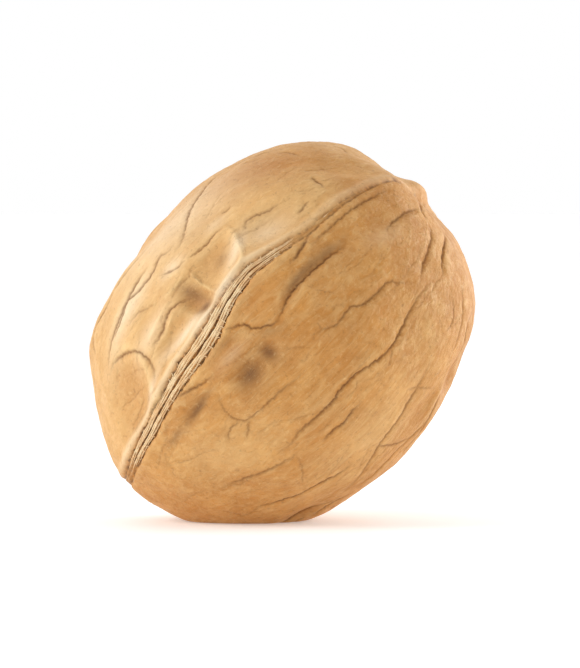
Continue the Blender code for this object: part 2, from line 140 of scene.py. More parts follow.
# Furrows seen from the front: half width, depth, and places to the right and up from
# the nut's middle
FURROWS = (
    (0.28, 0.32, ((-5.3, 1.5), (-4.4, 1.8), (-3.5, 2.0), (-2.5, 1.7), (-1.4, 1.9),
                  (-0.5, 2.2), (0.2, 2.8))),
    (0.30, 0.36, ((15.5, 6.3), (14.5, 5.4), (13.5, 3.9), (12.5, 2.0), (11.5, 0.3),
                  (10.0, -1.2), (7.8, -2.6), (6.1, -4.3), (5.2, -5.6), (3.7, -7.0),
                  (2.0, -8.5), (0.9, -10.0), (-0.6, -11.0))),
    (0.26, 0.14, ((11.2, -0.2), (11.0, -1.0), (10.7, -2.2))),
    (0.32, 0.28, ((14.1, 6.3), (14.5, 8.0), (15.1, 10.2), (15.0, 11.7))),
    (0.32, 0.38, ((16.4, 6.5), (16.3, 8.0), (16.5, 9.5), (16.9, 11.1))),
    (0.28, 0.24, ((14.2, 15.1), (14.2, 13.2), (14.8, 12.3))),
    (0.26, 0.20, ((11.2, 15.8), (12.5, 15.8), (13.4, 15.6), (14.4, 15.3))),
    (0.30, 0.24, ((13.9, 13.3), (12.5, 12.9), (11.2, 12.0), (10.4, 11.0))),
    (0.28, 0.24, ((13.6, 6.2), (11.9, 6.1), (10.8, 6.2), (9.3, 4.8), (8.0, 3.9),
                  (6.9, 3.7), (5.7, 2.2), (4.1, 1.5), (2.9, 0.9))),
    (0.30, 0.24, ((15.1, -1.4), (14.3, -3.5), (13.2, -5.7), (11.7, -8.0),
                  (10.4, -9.6), (9.3, -11.5), (8.0, -13.3), (6.1, -15.2))),
    (0.32, 0.28, ((18.1, -1.4), (16.8, -4.1), (15.3, -6.8), (13.8, -9.5),
                  (11.9, -11.8))),
    (0.32, 0.28, ((7.4, -15.1), (5.2, -16.3), (2.9, -17.6))),
    (0.26, 0.20, ((2.4, -2.7), (1.7, -3.3), (-0.1, -4.7), (-2.0, -6.4),
                  (-3.3, -7.4), (-4.6, -7.2), (-5.6, -6.1), (-6.1, -4.2))),
    (0.26, 0.18, ((-3.2, -7.3), (-3.1, -8.2), (-3.3, -9.4))),
    (0.26, 0.20, ((-4.0, -7.6), (-4.9, -8.3), (-5.1, -9.7))),
    (0.26, 0.14, ((1.5, -10.9), (2.1, -12.0), (2.2, -14.1))),
    (0.28, 0.30, ((-12.7, -0.5), (-11.9, 1.1), (-11.2, 3.0), (-10.3, 4.0),
                  (-9.1, 4.8))),
    (0.30, 0.24, ((-12.0, 6.8), (-10.9, 7.3), (-10.0, 7.7), (-9.5, 8.3))),
    (0.28, 0.26, ((-9.3, 8.3), (-8.1, 9.2), (-7.1, 10.1), (-6.6, 10.8),
                  (-5.6, 11.6))),
    (0.26, 0.16, ((-8.9, 7.7), (-9.0, 6.8), (-9.9, 5.9), (-10.7, 4.8))),
    (0.26, 0.14, ((-9.0, 6.8), (-8.2, 6.5), (-7.5, 5.8))),
    (0.32, 0.30, ((-10.5, 10.1), (-11.0, 9.2), (-12.0, 8.5), (-12.7, 7.2),
                  (-14.1, 5.4), (-15.4, 4.0), (-16.0, 2.6), (-16.7, 0.8),
                  (-17.2, -1.0), (-17.4, -2.9))),
    (0.28, 0.26, ((-4.9, 17.3), (-6.4, 16.2), (-8.0, 14.6), (-9.1, 13.1),
                  (-9.5, 11.7), (-9.8, 10.2), (-10.7, 8.7))),
    (0.26, 0.18, ((-4.9, 13.8), (-5.4, 13.3), (-6.1, 13.0))),
    (0.30, 0.24, ((-3.5, 11.2), (-3.3, 12.2), (-2.5, 12.7), (-1.2, 13.2),
                  (0.0, 13.9))),
    (0.30, 0.24, ((2.9, 14.0), (2.3, 13.4), (1.8, 12.7))),
    (0.30, 0.30, ((3.0, 16.3), (3.7, 15.8), (4.4, 15.2))),
    (0.28, 0.18, ((-0.2, 18.2), (0.9, 18.3), (2.0, 18.1))),
    (0.26, 0.14, ((5.4, 19.5), (6.3, 18.9), (6.7, 18.4))),
    (0.34, 0.28, ((-17.2, -3.2), (-16.8, -2.1), (-15.8, -1.2), (-14.3, -0.8),
                  (-13.2, -1.4), (-12.4, -2.7), (-12.3, -4.0))),
    (0.26, 0.14, ((-13.9, -5.3), (-14.4, -6.8), (-14.8, -8.5))),
    (0.26, 0.14, ((-15.1, 1.6), (-14.4, 2.9), (-13.3, 3.7), (-12.4, 4.1))),
    (0.30, 0.24, ((-10.7, -5.4), (-9.6, -4.9), (-8.3, -4.2), (-7.0, -3.4),
                  (-6.2, -2.6))),
    (0.25, 0.24, ((10.9, 15.0), (9.5, 14.4), (7.5, 13.4), (5.6, 12.0), (3.9, 10.5),
                  (2.9, 9.5))),
    (0.28, 0.16, ((17.9, 6.5), (18.1, 3.9), (17.7, 0.9), (16.6, -1.7))),
    (0.32, 0.32, ((2.9, 10.7), (2.1, 9.3), (1.2, 8.0))),
)
# The valley beside the seam: a sharp floor in a broad hollow
VALLEYS = (
    (0.28, 0.44, ((7.0, 10.1), (5.4, 9.1), (3.8, 7.8), (2.3, 6.4), (1.1, 5.1),
                  (0.5, 4.0), (0.0, 2.9), (-0.6, 2.0))),
    (1.15, 0.20, ((6.9, 10.5), (5.2, 9.5), (3.6, 8.2), (2.1, 6.7), (1.0, 5.3),
                  (0.5, 4.0))),
)
# Raised lines seen from the front: half width, height, and places
RIDGES = (
    (0.36, 0.24, ((-5.9, 11.8), (-4.7, 11.0), (-4.0, 9.9), (-3.6, 8.4), (-4.0, 7.3),
                  (-5.2, 5.9), (-6.4, 4.7))),
    (0.26, 0.22, ((-9.2, 7.4), (-8.5, 6.7), (-7.9, 6.1), (-6.9, 5.5), (-6.0, 5.0))),
    (0.26, 0.12, ((-9.2, 7.4), (-9.9, 6.2), (-10.9, 5.1), (-12.2, 4.0))),
    (0.34, 0.12, ((-13.2, -0.6), (-12.6, 1.2), (-11.8, 2.9), (-10.9, 4.2))),
    (0.20, 0.12, ((-12.2, -0.6), (-11.4, 1.2), (-10.7, 2.9), (-9.9, 3.9))),
    (0.42, 0.20, ((-11.7, -2.6), (-11.6, -4.4), (-12.3, -6.4), (-13.3, -8.4))),
    (1.30, 0.12, ((7.4, 13.2), (5.3, 12.0), (3.5, 10.7), (1.8, 9.3), (0.2, 7.7),
                  (-1.0, 6.1), (-1.9, 4.5))),
    (1.00, 0.20, ((6.2, 8.6), (4.8, 7.4), (3.4, 5.9), (2.3, 4.5), (1.6, 3.3))),
)
# Dimples seen from the front: middle, long and short half sizes, turn, depth, depth of
# tint, which is painted shade in the dimple, and the side and height of the rim
DIMPLES = (
    ((-6.5, 8.1), 2.5, 1.8, 60.0, 0.82, 0.45, 0.0, 0.10),
    ((-8.4, 4.5), 1.9, 1.2, -20.0, 1.00, 1.00, -40.0, 0.04),
    ((-10.2, 1.4), 3.0, 1.2, 50.0, 0.74, 0.25, -45.0, 0.10),
    ((-15.1, -5.1), 4.1, 2.9, 100.0, 0.70, 0.80, 60.0, 0.12),
    ((-1.6, 11.4), 2.8, 1.8, 32.0, 0.52, 0.0, 140.0, 0.08),
    ((6.5, 17.2), 3.0, 1.8, 10.0, 0.45, 0.50, -60.0, 0.04),
    ((-2.9, -2.8), 1.8, 1.4, 50.0, 0.42, 0.25, 0.0, 0.03),
    ((-1.1, -0.6), 1.2, 1.0, 40.0, 0.32, 0.25, 0.0, 0.02),
    ((-11.0, 7.8), 1.5, 1.0, 35.0, 0.22, 0.0, 0.0, 0.03),
    ((-13.1, 3.1), 1.9, 1.4, 60.0, 0.22, 0.0, 20.0, 0.04),
    ((-8.3, -6.5), 2.8, 0.7, 53.0, 0.24, 0.10, 0.0, 0.0),
    ((9.3, 11.9), 2.8, 1.5, 30.0, 0.30, 0.30, 0.0, 0.0),
    ((6.1, 3.9), 2.6, 1.7, 40.0, 0.18, 0.25, 0.0, 0.0),
)
# Greyish marks in the shell: middle, long and short half sizes, turn, and strength
STAINS = (
    ((-2.9, -2.9), 1.40, 1.00, 55.0, 0.95),
    ((-1.1, -0.7), 0.95, 0.70, 140.0, 0.95),
    ((-7.6, 3.9), 0.80, 0.50, 40.0, 1.00),
    ((-8.9, 5.2), 1.60, 0.65, -25.0, 0.75),
    ((-8.0, -6.2), 2.1, 0.40, 53.0, 0.95),
    ((-10.3, -9.2), 1.6, 0.32, 50.0, 0.60),
    ((-5.0, 0.4), 1.6, 0.5, 40.0, 0.40),
    ((-1.0, 1.4), 1.3, 0.5, 20.0, 0.40),
    ((-6.0, 8.6), 0.9, 0.6, 60.0, 0.45),
    ((1.5, 6.2), 2.0, 0.24, 60.0, 0.50),
    ((11.4, 15.8), 0.45, 0.22, 10.0, 0.95),
    ((14.5, 15.3), 0.35, 0.25, 0.0, 0.80),
)
# Paler places, in the same way; the last one is painted light on the lit upper left
PALE_AND_LIT_PLACES = (
    ((-1.4, 11.2), 2.3, 1.4, 32.0, 0.45),
    ((-4.3, 9.3), 2.2, 0.8, 80.0, 0.75),
    ((-9.4, 1.3), 3.0, 0.60, 43.0, 1.00),
    ((-7.6, 2.4), 2.4, 0.55, 50.0, 0.90),
    ((-5.2, 5.7), 2.4, 0.60, 58.0, 0.85),
    ((-10.9, 7.6), 1.6, 1.0, 35.0, 0.60),
    ((-15.2, 3.4), 4.4, 1.3, 58.0, 0.70),
    ((-12.9, 1.0), 2.6, 1.0, 60.0, 0.50),
    ((-6.6, 11.9), 1.6, 0.9, 50.0, 0.35),
    ((10.2, 10.6), 2.2, 0.9, 30.0, 0.20),
    ((-4.7, -1.0), 1.8, 0.5, 48.0, 0.25),
    ((-12.6, -4.6), 2.4, 0.45, 62.0, 0.60),
    # painted light: the upper left is made paler where the light falls on it
    ((-10.6, 11.8), 7.0, 3.4, 48.0, 0.55),
)
# Broad paler areas, in the same way; the two low ones are painted light on the lower
# part
BROAD_PALE_AND_LIT = (
    ((-5.5, -11.0), 7.5, 3.6, 25.0, 0.42),
    ((9.0, -9.5), 8.0, 4.0, 42.0, 0.42),
    ((14.5, 0.5), 5.0, 2.2, 60.0, 0.20),
)
# Broad deeper areas, the same way; the two at the top are partly tan, partly painted
# cast shadow
BROAD_DEEP_AND_SHADOW = (
    ((-0.5, 17.4), 8.0, 3.4, 5.0, 1.00),
    ((7.6, 15.4), 4.5, 1.8, -22.0, 0.75),
    ((4.0, 1.0), 5.5, 3.2, 40.0, 0.30),
    ((3.5, -9.5), 3.0, 1.4, 35.0, 0.20),
)

# The far side, which grows by a rule, the hairlines all over, and low waves
BACK_SEED = 41
BACK_SEAM_BEARING = 197.0
BACK_VEINS = (58.0, 74.0, 96.0, 118.0, 139.0, 160.0, 176.0,
              221.0, 238.0, 257.0, 274.0, 291.0, 308.0, 327.0)
BACK_TICKS = 24
BACK_DIMPLES = 30
HAIRLINES = 230
WAVE_SEED = 7
WAVE_COUNT = 9
WAVE_LENGTHS = (6.5, 13.0)
WAVE_HEIGHT = 0.0625
# A line's own small wander: its amount, and the share and length of each wave
WANDER = 0.038
WANDER_WAVES = ((0.6, 2.5), (1.0, 1.1), (0.7, 0.55))
# Steps between the points of a line, and of a curve that values are read from
LINE_STEP = 0.12
READING_STEP = 0.25
# How many points of a line are measured from at once
POINTS_AT_ONCE = 6
# Strands: places across the band, step along it, and share of the teeth left out
STRAND_LANES = (-0.80, -0.54, -0.28, 0.28, 0.54, 0.80)
STRAND_STEP = 0.25
TEETH_SKIPPED = 0.55

# Paleness of the half left of the seam, which is painted light on that lit side; of the
# lips;
# of the swellings, which is a painted highlight beside each furrow; of the ridges; and
# wear of the left lip, which also paints the light on that lit side
LIT_HALF = 0.48
PALE_LIP = 0.60
SWELLING_HIGHLIGHT = 0.25
PALE_RIDGE = 0.90
WORN_AND_LIT_LIP = 0.45
# Ridges wider than this stay the shell's own colour
BROAD_RIDGE = 1.0
# Rim of a dimple: its place as a share of the dimple's size, its width, and the height
# at which it is fully pale
DIMPLE_RIM = (1.15, 0.22)
PALE_RIM_HEIGHT = 0.14

# Nearest that a front view point may come to the outline, as a share of the way out
RIM_SHARE = 0.995
# How softly the underside goes over into the flat that the nut rests on
FLAT_SOFTNESS = 0.25
SPHERE_SUBDIVISIONS = 9
# One millimetre in metres
MM = 0.001

# Width and height of a place in the node editor
COLUMN, ROW = 190.0, 170.0
# Middle of the picture, and the place that the lamps point at
PICTURE_MIDDLE = (0.0044, 0.0, 0.0190)
LAMP_AIM = (0.0034, 0.0, 0.018)


def length_of(name, description, default, low, high, precision=4):
    """A length that a user can change."""
    return FloatProperty(name=name, description=description, default=default,
                         min=low, max=high, unit="LENGTH", precision=precision)


def colour_of(name, description, red, green, blue):
    """A colour that a user can change."""
    return FloatVectorProperty(name=name, description=description, subtype="COLOR",
                               size=4, default=(red, green, blue, 1.0),
                               min=0.0, max=1.0)


def amount(name, description, default, unit="NONE"):
    """A power or strength that a user can change."""
    return FloatProperty(name=name, description=description, default=default,
                         min=0.0, unit=unit)


class WalnutForm(bpy.types.PropertyGroup):
    """Size and place of the nut"""

    half_length: length_of("Half length", "From the middle to the beak", 0.0212,
                           0.01, 0.04)
    half_width: length_of("Half width", "From the middle to the side", 0.0171,
                          0.01, 0.04)
    half_depth: length_of("Half depth", "From the middle to the seam in front",
                          0.0172, 0.01, 0.04)
    lean: FloatProperty(
        name="Lean", description="How far the axis rises from the table",
        default=math.radians(44.0), subtype="ANGLE")
    centre: FloatVectorProperty(
        name="Middle", description="The nut's middle above the table",
        default=(0.0034, 0.0003, 0.01845), subtype="TRANSLATION", unit="LENGTH",
        precision=5)
    triangles: IntProperty(
        name="Triangles", description="Triangles kept in the shell's mesh",
        default=188000, min=20000, max=195000)


class WalnutRelief(bpy.types.PropertyGroup):
    """Small relief of the shell and its seam"""

    wrinkle_height: length_of(
        "Wrinkle height", "Height of the small uneven swellings",
        0.00009, 0.0, 0.001, 6)
    wrinkle_size: length_of("Wrinkle size", "Size of the small uneven swellings",
                            0.0021, 0.0002, 0.02, 5)
    strand_radius: length_of("Strand radius", "Radius of a strand in the seam",
                             0.000135, 0.00002, 0.001, 6)
    strand_sway: length_of("Strand sway", "How far a strand wanders from its lane",
                           0.00010, 0.0, 0.002, 6)
    seed: IntProperty(
        name="Seed", description="Draw of the small relief", default=5, min=0)


class WalnutColours(bpy.types.PropertyGroup):
    """Colours of the shell"""

    shell: colour_of("Shell", "Main tan of the shell", 0.652, 0.297, 0.065)
    # deeper tan, also laid as painted shade in the dimples and at the top
    shell_deep: colour_of("Deeper tan", "Darker patches of the shell",
                          0.440, 0.168, 0.028)
    # pale tan, also laid as painted light on the lit left half and the lower part
    pale_tan_and_light: colour_of("Pale tan", "Ridges, lips and the paler half",
                          0.880, 0.625, 0.290)
    # worn colour, also laid as painted light on the left lip and the upper left
    worn_tan_and_light: colour_of("Worn", "The palest, worn places", 0.940, 0.780, 0.560)
    furrow: colour_of("Furrow", "Brown in the furrows", 0.170, 0.064, 0.018)
    crack: colour_of("Crack", "Dark inside of the seam", 0.045, 0.019, 0.008)
    stain: colour_of("Stain", "Greyish brown marks", 0.160, 0.066, 0.020)
    strand: colour_of("Strand", "Pale strands in the seam", 0.900, 0.700, 0.420)


class WalnutStage(bpy.types.PropertyGroup):
    """Floor, lights and camera"""

    floor: colour_of("Floor", "Colour of the floor", 0.90, 0.90, 0.90)
    side_light: amount("Side light", "Power of the big soft light on the left",
                       0.61, "POWER")
    rim_light: amount("Rim light", "Power of the soft light on the right",
                      0.70, "POWER")
    front_light: amount("Front light", "Power of the fill from the front",
                        0.10, "POWER")
    surround: amount("Surround", "Strength of the white behind the nut", 1.0)
    surround_front: amount("Surround in front", "Strength of the white before the nut",
                           0.43)
    floor_glow: amount("Floor glow", "How much the floor shines by itself", 0.25)
    camera_distance: length_of("Camera distance", "From the camera to the nut",
                               0.50, 0.1, 5.0)
    camera_rise: FloatProperty(
        name="Camera rise", description="How far the camera looks down",
        default=math.radians(2.0), subtype="ANGLE")
    view_height: length_of("View height", "Height of the picture at the nut",
                           0.068, 0.01, 1.0)


def curve_through(points, step):
    """Points of a smooth curve through the given ones, evenly spaced."""
    pts = np.array(points, float)
    ends = np.vstack([2 * pts[0] - pts[1], pts, 2 * pts[-1] - pts[-2]])
    out = []
    for i in range(len(pts) - 1):
        p0, p1, p2, p3 = ends[i:i + 4]
        count = max(2, int(np.linalg.norm(p2 - p1) / step) + 1)
        t = np.linspace(0.0, 1.0, count, endpoint=False)[:, None]
        out.append(0.5 * (2 * p1 + (p2 - p0) * t
                          + (2 * p0 - 5 * p1 + 4 * p2 - p3) * t ** 2
                          + (3 * p1 - p0 - 3 * p2 + p3) * t ** 3))
    return np.vstack(out + [pts[-1:]])


def read_curve(points, x):
    """Value at x of a smooth curve through (x, value) points."""
    fine = curve_through(points, READING_STEP)
    return np.interp(x, fine[:, 0], fine[:, 1])


class NutForm:
    """The nut's plain egg form and everything that is laid on it, in millimetres."""

    def __init__(self, settings):
        form = settings.form
        self.half = np.array([form.half_length, form.half_width, form.half_depth])
        self.half = self.half / MM
        self.lean = form.lean
        self.centre = np.array(form.centre) / MM

    def to_nut(self, x, z):
        """Front view places to distances along the axis and across it."""
        c, s = math.cos(self.lean), math.sin(self.lean)
        return x * c + z * s, -x * s + z * c

    def on_near_side(self, points):
        """Front view points laid on the near side of the egg form."""
        pts = np.array(points, float)
        u, v = self.to_nut(pts[:, 0], pts[:, 1])
        reach = np.sqrt((u / self.half[0]) ** 2 + (v / self.half[1]) ** 2)
        shrink = np.where(reach > RIM_SHARE, RIM_SHARE / np.maximum(reach, 1e-9), 1.0)
        u, v = u * shrink, v * shrink
        rest = 1.0 - (u / self.half[0]) ** 2 - (v / self.half[1]) ** 2
        return np.stack([u, v, self.half[2] * np.sqrt(np.maximum(rest, 0.0))], axis=1)

    def on_bearing(self, along, bearing_deg):
        """Points of the egg form, from places along the axis and bearings."""
        ring = np.sqrt(np.maximum(1.0 - (along / self.half[0]) ** 2, 0.0))
        turn = np.radians(bearing_deg)
        return np.stack([along, self.half[1] * ring * np.sin(turn),
                         self.half[2] * ring * np.cos(turn)], axis=-1)

    def normals(self, base):
        """Outward unit normals of the egg form."""
        n = base / self.half ** 2
        return n / np.linalg.norm(n, axis=1)[:, None]

    def stand(self, points):
        """Lean the nut, lift it, and press its underside flat at z = 0."""
        c, s = math.cos(self.lean), math.sin(self.lean)
        u, v, d = points[:, 0], points[:, 1], points[:, 2]
        x = u * c - v * s + self.centre[0]
        y = -d + self.centre[1]
        z = u * s + v * c + self.centre[2]
        k = FLAT_SOFTNESS
        z = np.where(z > k, z, np.where(z < -k, 0.0, (z + k) ** 2 / (4.0 * k)))
        return np.stack([x, y, z], axis=1)

    def lobes(self, unit):
        """Broad swellings, and the beak's ridge with the hollows beside it."""
        h = np.zeros(len(unit))
        for angle, height, spread in LOBES:
            a = math.radians(angle)
            away = np.degrees(np.arccos(np.clip(
                unit[:, 0] * math.cos(a) + unit[:, 1] * math.sin(a), -1.0, 1.0)))
            h += height * np.exp(-0.5 * (away / spread) ** 2)
        turn = math.radians(BEAK_BEARING)
        across = np.degrees(unit[:, 1] * math.cos(turn) - unit[:, 2] * math.sin(turn))
        along = np.degrees(unit[:, 1] * math.sin(turn) + unit[:, 2] * math.cos(turn))
        near = unit[:, 0] > 0.0
        at, height, steep, gentle, long = BEAK_TIP
        side = (across - at) / np.where(across < at, steep, gentle)
        h += near * height * np.exp(
            BEAK_TOP_KEPT - np.sqrt(side ** 2 + BEAK_ROUNDING)
            - 0.5 * (along / long) ** 2)
        for at, at_along, height, wide, long in BEAK_HOLLOWS:
            h += near * height * np.exp(-0.5 * ((across - at) / wide) ** 2
                                        - 0.5 * ((along - at_along) / long) ** 2)
        return h

    def seam(self, base):
        """Keel, lips and cracks of the seam, and masks of its cracks and band."""
        along = base[:, 0]
        ring = np.hypot(base[:, 1], base[:, 2])
        bearing = np.arctan2(base[:, 1], base[:, 2])
        front = bearing - np.radians(read_curve(FRONT_SEAM, along))
        back = bearing - np.radians(read_curve(BACK_SEAM, along))
        on_front = np.cos(front) > np.cos(back)
        off = np.where(on_front, ring * np.sin(front), -ring * np.sin(back))
        far = np.where(on_front, np.cos(front), np.cos(back)) < 0.0
        off = np.where(far, np.sign(off) * ring, off)
        half = np.where(on_front, read_curve(BAND_FRONT, along),
                        read_curve(BAND_BACK, along))
        tip = np.clip((self.half[0] - np.abs(along)) / TIP_LENGTH, 0.0, 1.0) ** 0.5
        h = KEEL[0] * np.exp(-(off / KEEL[1]) ** 2)
        lip = LEFT_LIP[0] * np.exp(-((off - half - LEFT_LIP[1]) / LEFT_LIP[2]) ** 2)
        lip += RIGHT_LIP[0] * np.exp(
            -((off + half + RIGHT_LIP[1]) / RIGHT_LIP[2]) ** 2)
        share, start, length = LIP_FADE
        low = 1.0 - share * np.clip((along - start) / length, 0.0, 1.0) * on_front
        h += tip * lip * low

        # the two cracks, with the band open between them
        sway = sum(much * np.sin(along * quick + begin)
                   for much, quick, begin in SWAY_WAVES)
        open_part = np.clip(half / 0.4, 0.0, 1.0)
        saw = np.abs((along / TOOTH_LENGTH) % 1.0 - 0.5) * 4.0 - 1.0
        saw *= 0.5 + 0.5 * np.sin(along * 1.1)
        left_at = half + sway * open_part + TEETH[0] * saw
        right_at = -half + 0.8 * sway * open_part - TEETH[1] * saw
        left = np.exp(-((off - left_at) / CRACK[1]) ** 2)
        right = np.exp(-((off - right_at) / (1.15 * CRACK[1])) ** 2)
        depth = (CRACK_AT_TIPS + (1.0 - CRACK_AT_TIPS) * tip) * CRACK[0]
        upper = np.clip((along - 6.0) / 3.0, 0.0, 1.0) * on_front
        lower = np.clip((-2.0 - along) / 4.0, 0.0, 1.0)
        depth = depth * (1.0 - 0.5 * upper)
        h -= depth * np.maximum((0.55 + 0.35 * lower) * left, right)

        # the band, with two rounded ridges and a groove in its middle
        inside = np.clip((left_at - off) / BAND_EDGE, 0.0, 1.0)
        inside *= np.clip((off - right_at) / BAND_EDGE, 0.0, 1.0)
        band = inside * open_part
        ridge = 1.0 - (2.0 * np.abs(off) / np.maximum(half, 0.2) - 1.0) ** 2
        h += band * (BAND_RIDGES * ridge - BAND_FLOOR)
        middle = np.exp(-((off - 0.6 * sway) / MIDDLE_GROOVE[1]) ** 2)
        middle *= np.clip((half - 0.42) / 0.2, 0.0, 1.0)
        h -= MIDDLE_GROOVE[0] * middle

        # how dark the cracks and the groove are
        dash = 0.72 + 0.28 * np.sin(along * 5.3 + 2.0 * np.sin(along * 1.3))
        strong = np.exp(-((along + 9.0) / 4.0) ** 2)
        dark = np.maximum(left * (0.45 + 0.45 * lower) * dash,
                          right * dash * (0.72 + 0.28 * strong - 0.20 * upper))
        dark = np.maximum(dark, 0.80 * middle)
        return {"height": h, "off": off, "crack": dark * (0.4 + 0.6 * tip),
                "band": band, "half": half,
                "lip": np.clip(lip / 0.36, 0.0, 1.0) * tip * low}

    def near_line(self, base, line, reach):
        """Points within reach of a line: their numbers, distance, and taper."""
        count = len(line)
        ends = np.arange(count) / max(1, count - 1)
        taper = np.clip(np.minimum(ends, 1.0 - ends) / END_FADE, 0.0, 1.0) ** 0.75
        middle = line.mean(axis=0)
        whole = np.linalg.norm(line - middle, axis=1).max() + reach
        pick = np.nonzero(((base - middle) ** 2).sum(axis=1) < whole ** 2)[0]
        best = np.full(len(pick), 1e9)
        share = np.zeros(len(pick))
        near = base[pick]
        for start in range(0, count, POINTS_AT_ONCE):
            part = line[start:start + POINTS_AT_ONCE]
            mid = part.mean(axis=0)
            size = np.linalg.norm(part - mid, axis=1).max() + reach
            sub = np.nonzero(((near - mid) ** 2).sum(axis=1) < size ** 2)[0]
            if len(sub) == 0:
                continue
            gap = ((near[sub][:, None, :] - part[None, :, :]) ** 2).sum(axis=2)
            which = gap.argmin(axis=1)
            least = gap[np.arange(len(sub)), which]
            closer = least < best[sub]
            best[sub[closer]] = least[closer]
            share[sub[closer]] = taper[start + which[closer]]
        keep = best < reach ** 2
        return pick[keep], np.sqrt(best[keep]), share[keep]

    def lay_line(self, base, line, half_width, depth, layers):
        """Add one furrow, fine in the middle of a soft groove, to the layers."""
        pick, away, share = self.near_line(base, line, 4.5 * half_width)
        soft = np.exp(-away / (SOFT_GROOVE[1] * half_width))
        fine = np.exp(-(away / (FINE_GROOVE[1] * half_width)) ** 2)
        groove = depth * share * (SOFT_GROOVE[0] * soft + FINE_GROOVE[0] * fine)
        height, wide, at = SWELLING
        swell = height * depth * share * np.exp(
            -((away - at * half_width) / (wide * half_width)) ** 2)
        wide, full, least = FURROW_TINT
        tint = share * np.exp(-(away / (wide * half_width)) ** 2)
        tint *= np.clip(depth / full, least, 1.0)
        for name, values in (("groove", groove), ("swell", swell), ("crevice", tint)):
            layers[name][pick] = np.maximum(layers[name][pick], values)

    def oval(self, base, middle, long, short, direction, power=1.4, side=None):
        """Soft oval mask laid in the surface, and its rim on one side."""
        near = np.nonzero(((base - middle) ** 2).sum(axis=1) < (3.0 * long) ** 2)[0]
        n = self.normals(middle[None, :])[0]
        t1 = direction - n * direction.dot(n)
        t1 = t1 / np.linalg.norm(t1)
        t2 = np.cross(n, t1)
        off = base[near] - middle
        r = (off.dot(t1) / long) ** 2 + (off.dot(t2) / short) ** 2
        mask = np.zeros(len(base))
        mask[near] = np.exp(-(r ** power) * 0.9)
        if side is None:
            return mask
        towards = off.dot(side) / (np.linalg.norm(off, axis=1) + 0.01)
        rim = np.zeros(len(base))
        rim[near] = np.exp(-((np.sqrt(r) - DIMPLE_RIM[0]) / DIMPLE_RIM[1]) ** 2)
        rim[near] *= np.clip(0.5 + 0.8 * towards, 0.05, 1.0)
        return mask, rim

    def view_direction(self, turn_deg):
        """A direction in the front view, in the nut's own directions."""
        a = math.radians(turn_deg)
        u, v = self.to_nut(math.cos(a), math.sin(a))
        return np.array([u, v, 0.0])

    def back_lines(self):
        """Veins and cross furrows of the far side, grown from the stem end."""
        rng = np.random.default_rng(BACK_SEED)
        lines = []
        for bearing in BACK_VEINS:
            far = 75.0 < bearing < 305.0
            start = rng.uniform(-17.5, -14.0) if far else rng.uniform(-16.0, -12.0)
            stop = rng.uniform(11.0, 17.5) if far else rng.uniform(-6.0, 2.0)
            while start < stop - 4.0:
                end = min(stop, start + rng.uniform(7.0, 15.0))
                count = max(5, int((end - start) / 1.6))
                along = np.linspace(start, end, count)
                drift = rng.normal(0.0, 2.1, count).cumsum() * 0.55
                swing = 3.5 * np.sin(along * 0.22 + rng.uniform(0.0, 6.3))
                turn = bearing + swing + drift - drift.mean()
                pts = self.on_bearing(along, turn)
                lines.append((rng.uniform(0.28, 0.36), rng.uniform(0.20, 0.38), pts))
                start = end + rng.uniform(0.4, 2.4)
        for _ in range(BACK_TICKS):
            turn = rng.uniform(62.0, 318.0)
            if abs(turn - BACK_SEAM_BEARING) < 8.0:
                turn += 16.0
            along = rng.uniform(-15.0, 16.0)
            slope = rng.uniform(-1.0, 1.0)
            size = rng.uniform(1.6, 4.2)
            t = np.linspace(-0.5, 0.5, 5)
            bow = rng.uniform(-0.6, 0.6)
            pts = self.on_bearing(along + size * t * 0.8,
                                  turn + size * (slope * t * 6.0 + bow * 9.0 * t ** 2))
            lines.append((rng.uniform(0.26, 0.32), rng.uniform(0.14, 0.26), pts))
        return lines

    def back_dimples(self):
        """Dimples of the far side, most of them beside the far seam: middle, half
        sizes, direction, depth, then the rim's side and height, the tint in the
        dimple, which paints shade in it more the deeper it is, and the rim's paleness."""
        rng = np.random.default_rng(BACK_SEED + 1)
        found = []
        for k in range(BACK_DIMPLES):
            along = rng.uniform(-15.0, 15.0)
            side = 1.0 if k % 2 else -1.0
            spread = rng.uniform(11.0, 34.0) if k % 3 else rng.uniform(34.0, 118.0)
            bearing = np.array([BACK_SEAM_BEARING + side * spread])
            centre = self.on_bearing(np.array([along]), bearing)[0]
            tilt = rng.uniform(-0.7, 0.7)
            direction = np.array([math.cos(tilt), math.sin(tilt), 0.3 * tilt])
            long, short = rng.uniform(1.6, 3.2), rng.uniform(1.0, 1.9)
            depth = rng.uniform(0.22, 0.62)
            found.append((centre, long, short, direction, depth,
                          direction / np.linalg.norm(direction), 0.07 * depth,
                          min(0.8, depth / 0.6), min(0.3, 0.6 * depth)))
        return found

    def hairlines(self):
        """Fine short lines all over, most of them along the nut."""
        rng = np.random.default_rng(BACK_SEED + 2)
        lines = []
        for _ in range(HAIRLINES):
            bearing = rng.uniform(0.0, 360.0)
            along = rng.uniform(-17.0, 17.0)
            size = rng.uniform(1.2, 5.0)
            slope = rng.normal(0.0, 0.45)
            t = np.linspace(-0.5, 0.5, 6)
            wander = rng.normal(0.0, 0.16, 6).cumsum()
            ring = math.sqrt(1.0 - (along / self.half[0]) ** 2)
            turn = bearing + np.degrees((slope * size * t + wander) / (17.0 * ring))
            pts = self.on_bearing(np.clip(along + size * t, -20.5, 20.5), turn)
            lines.append((rng.uniform(0.14, 0.22), rng.uniform(0.04, 0.13), pts))
        return lines

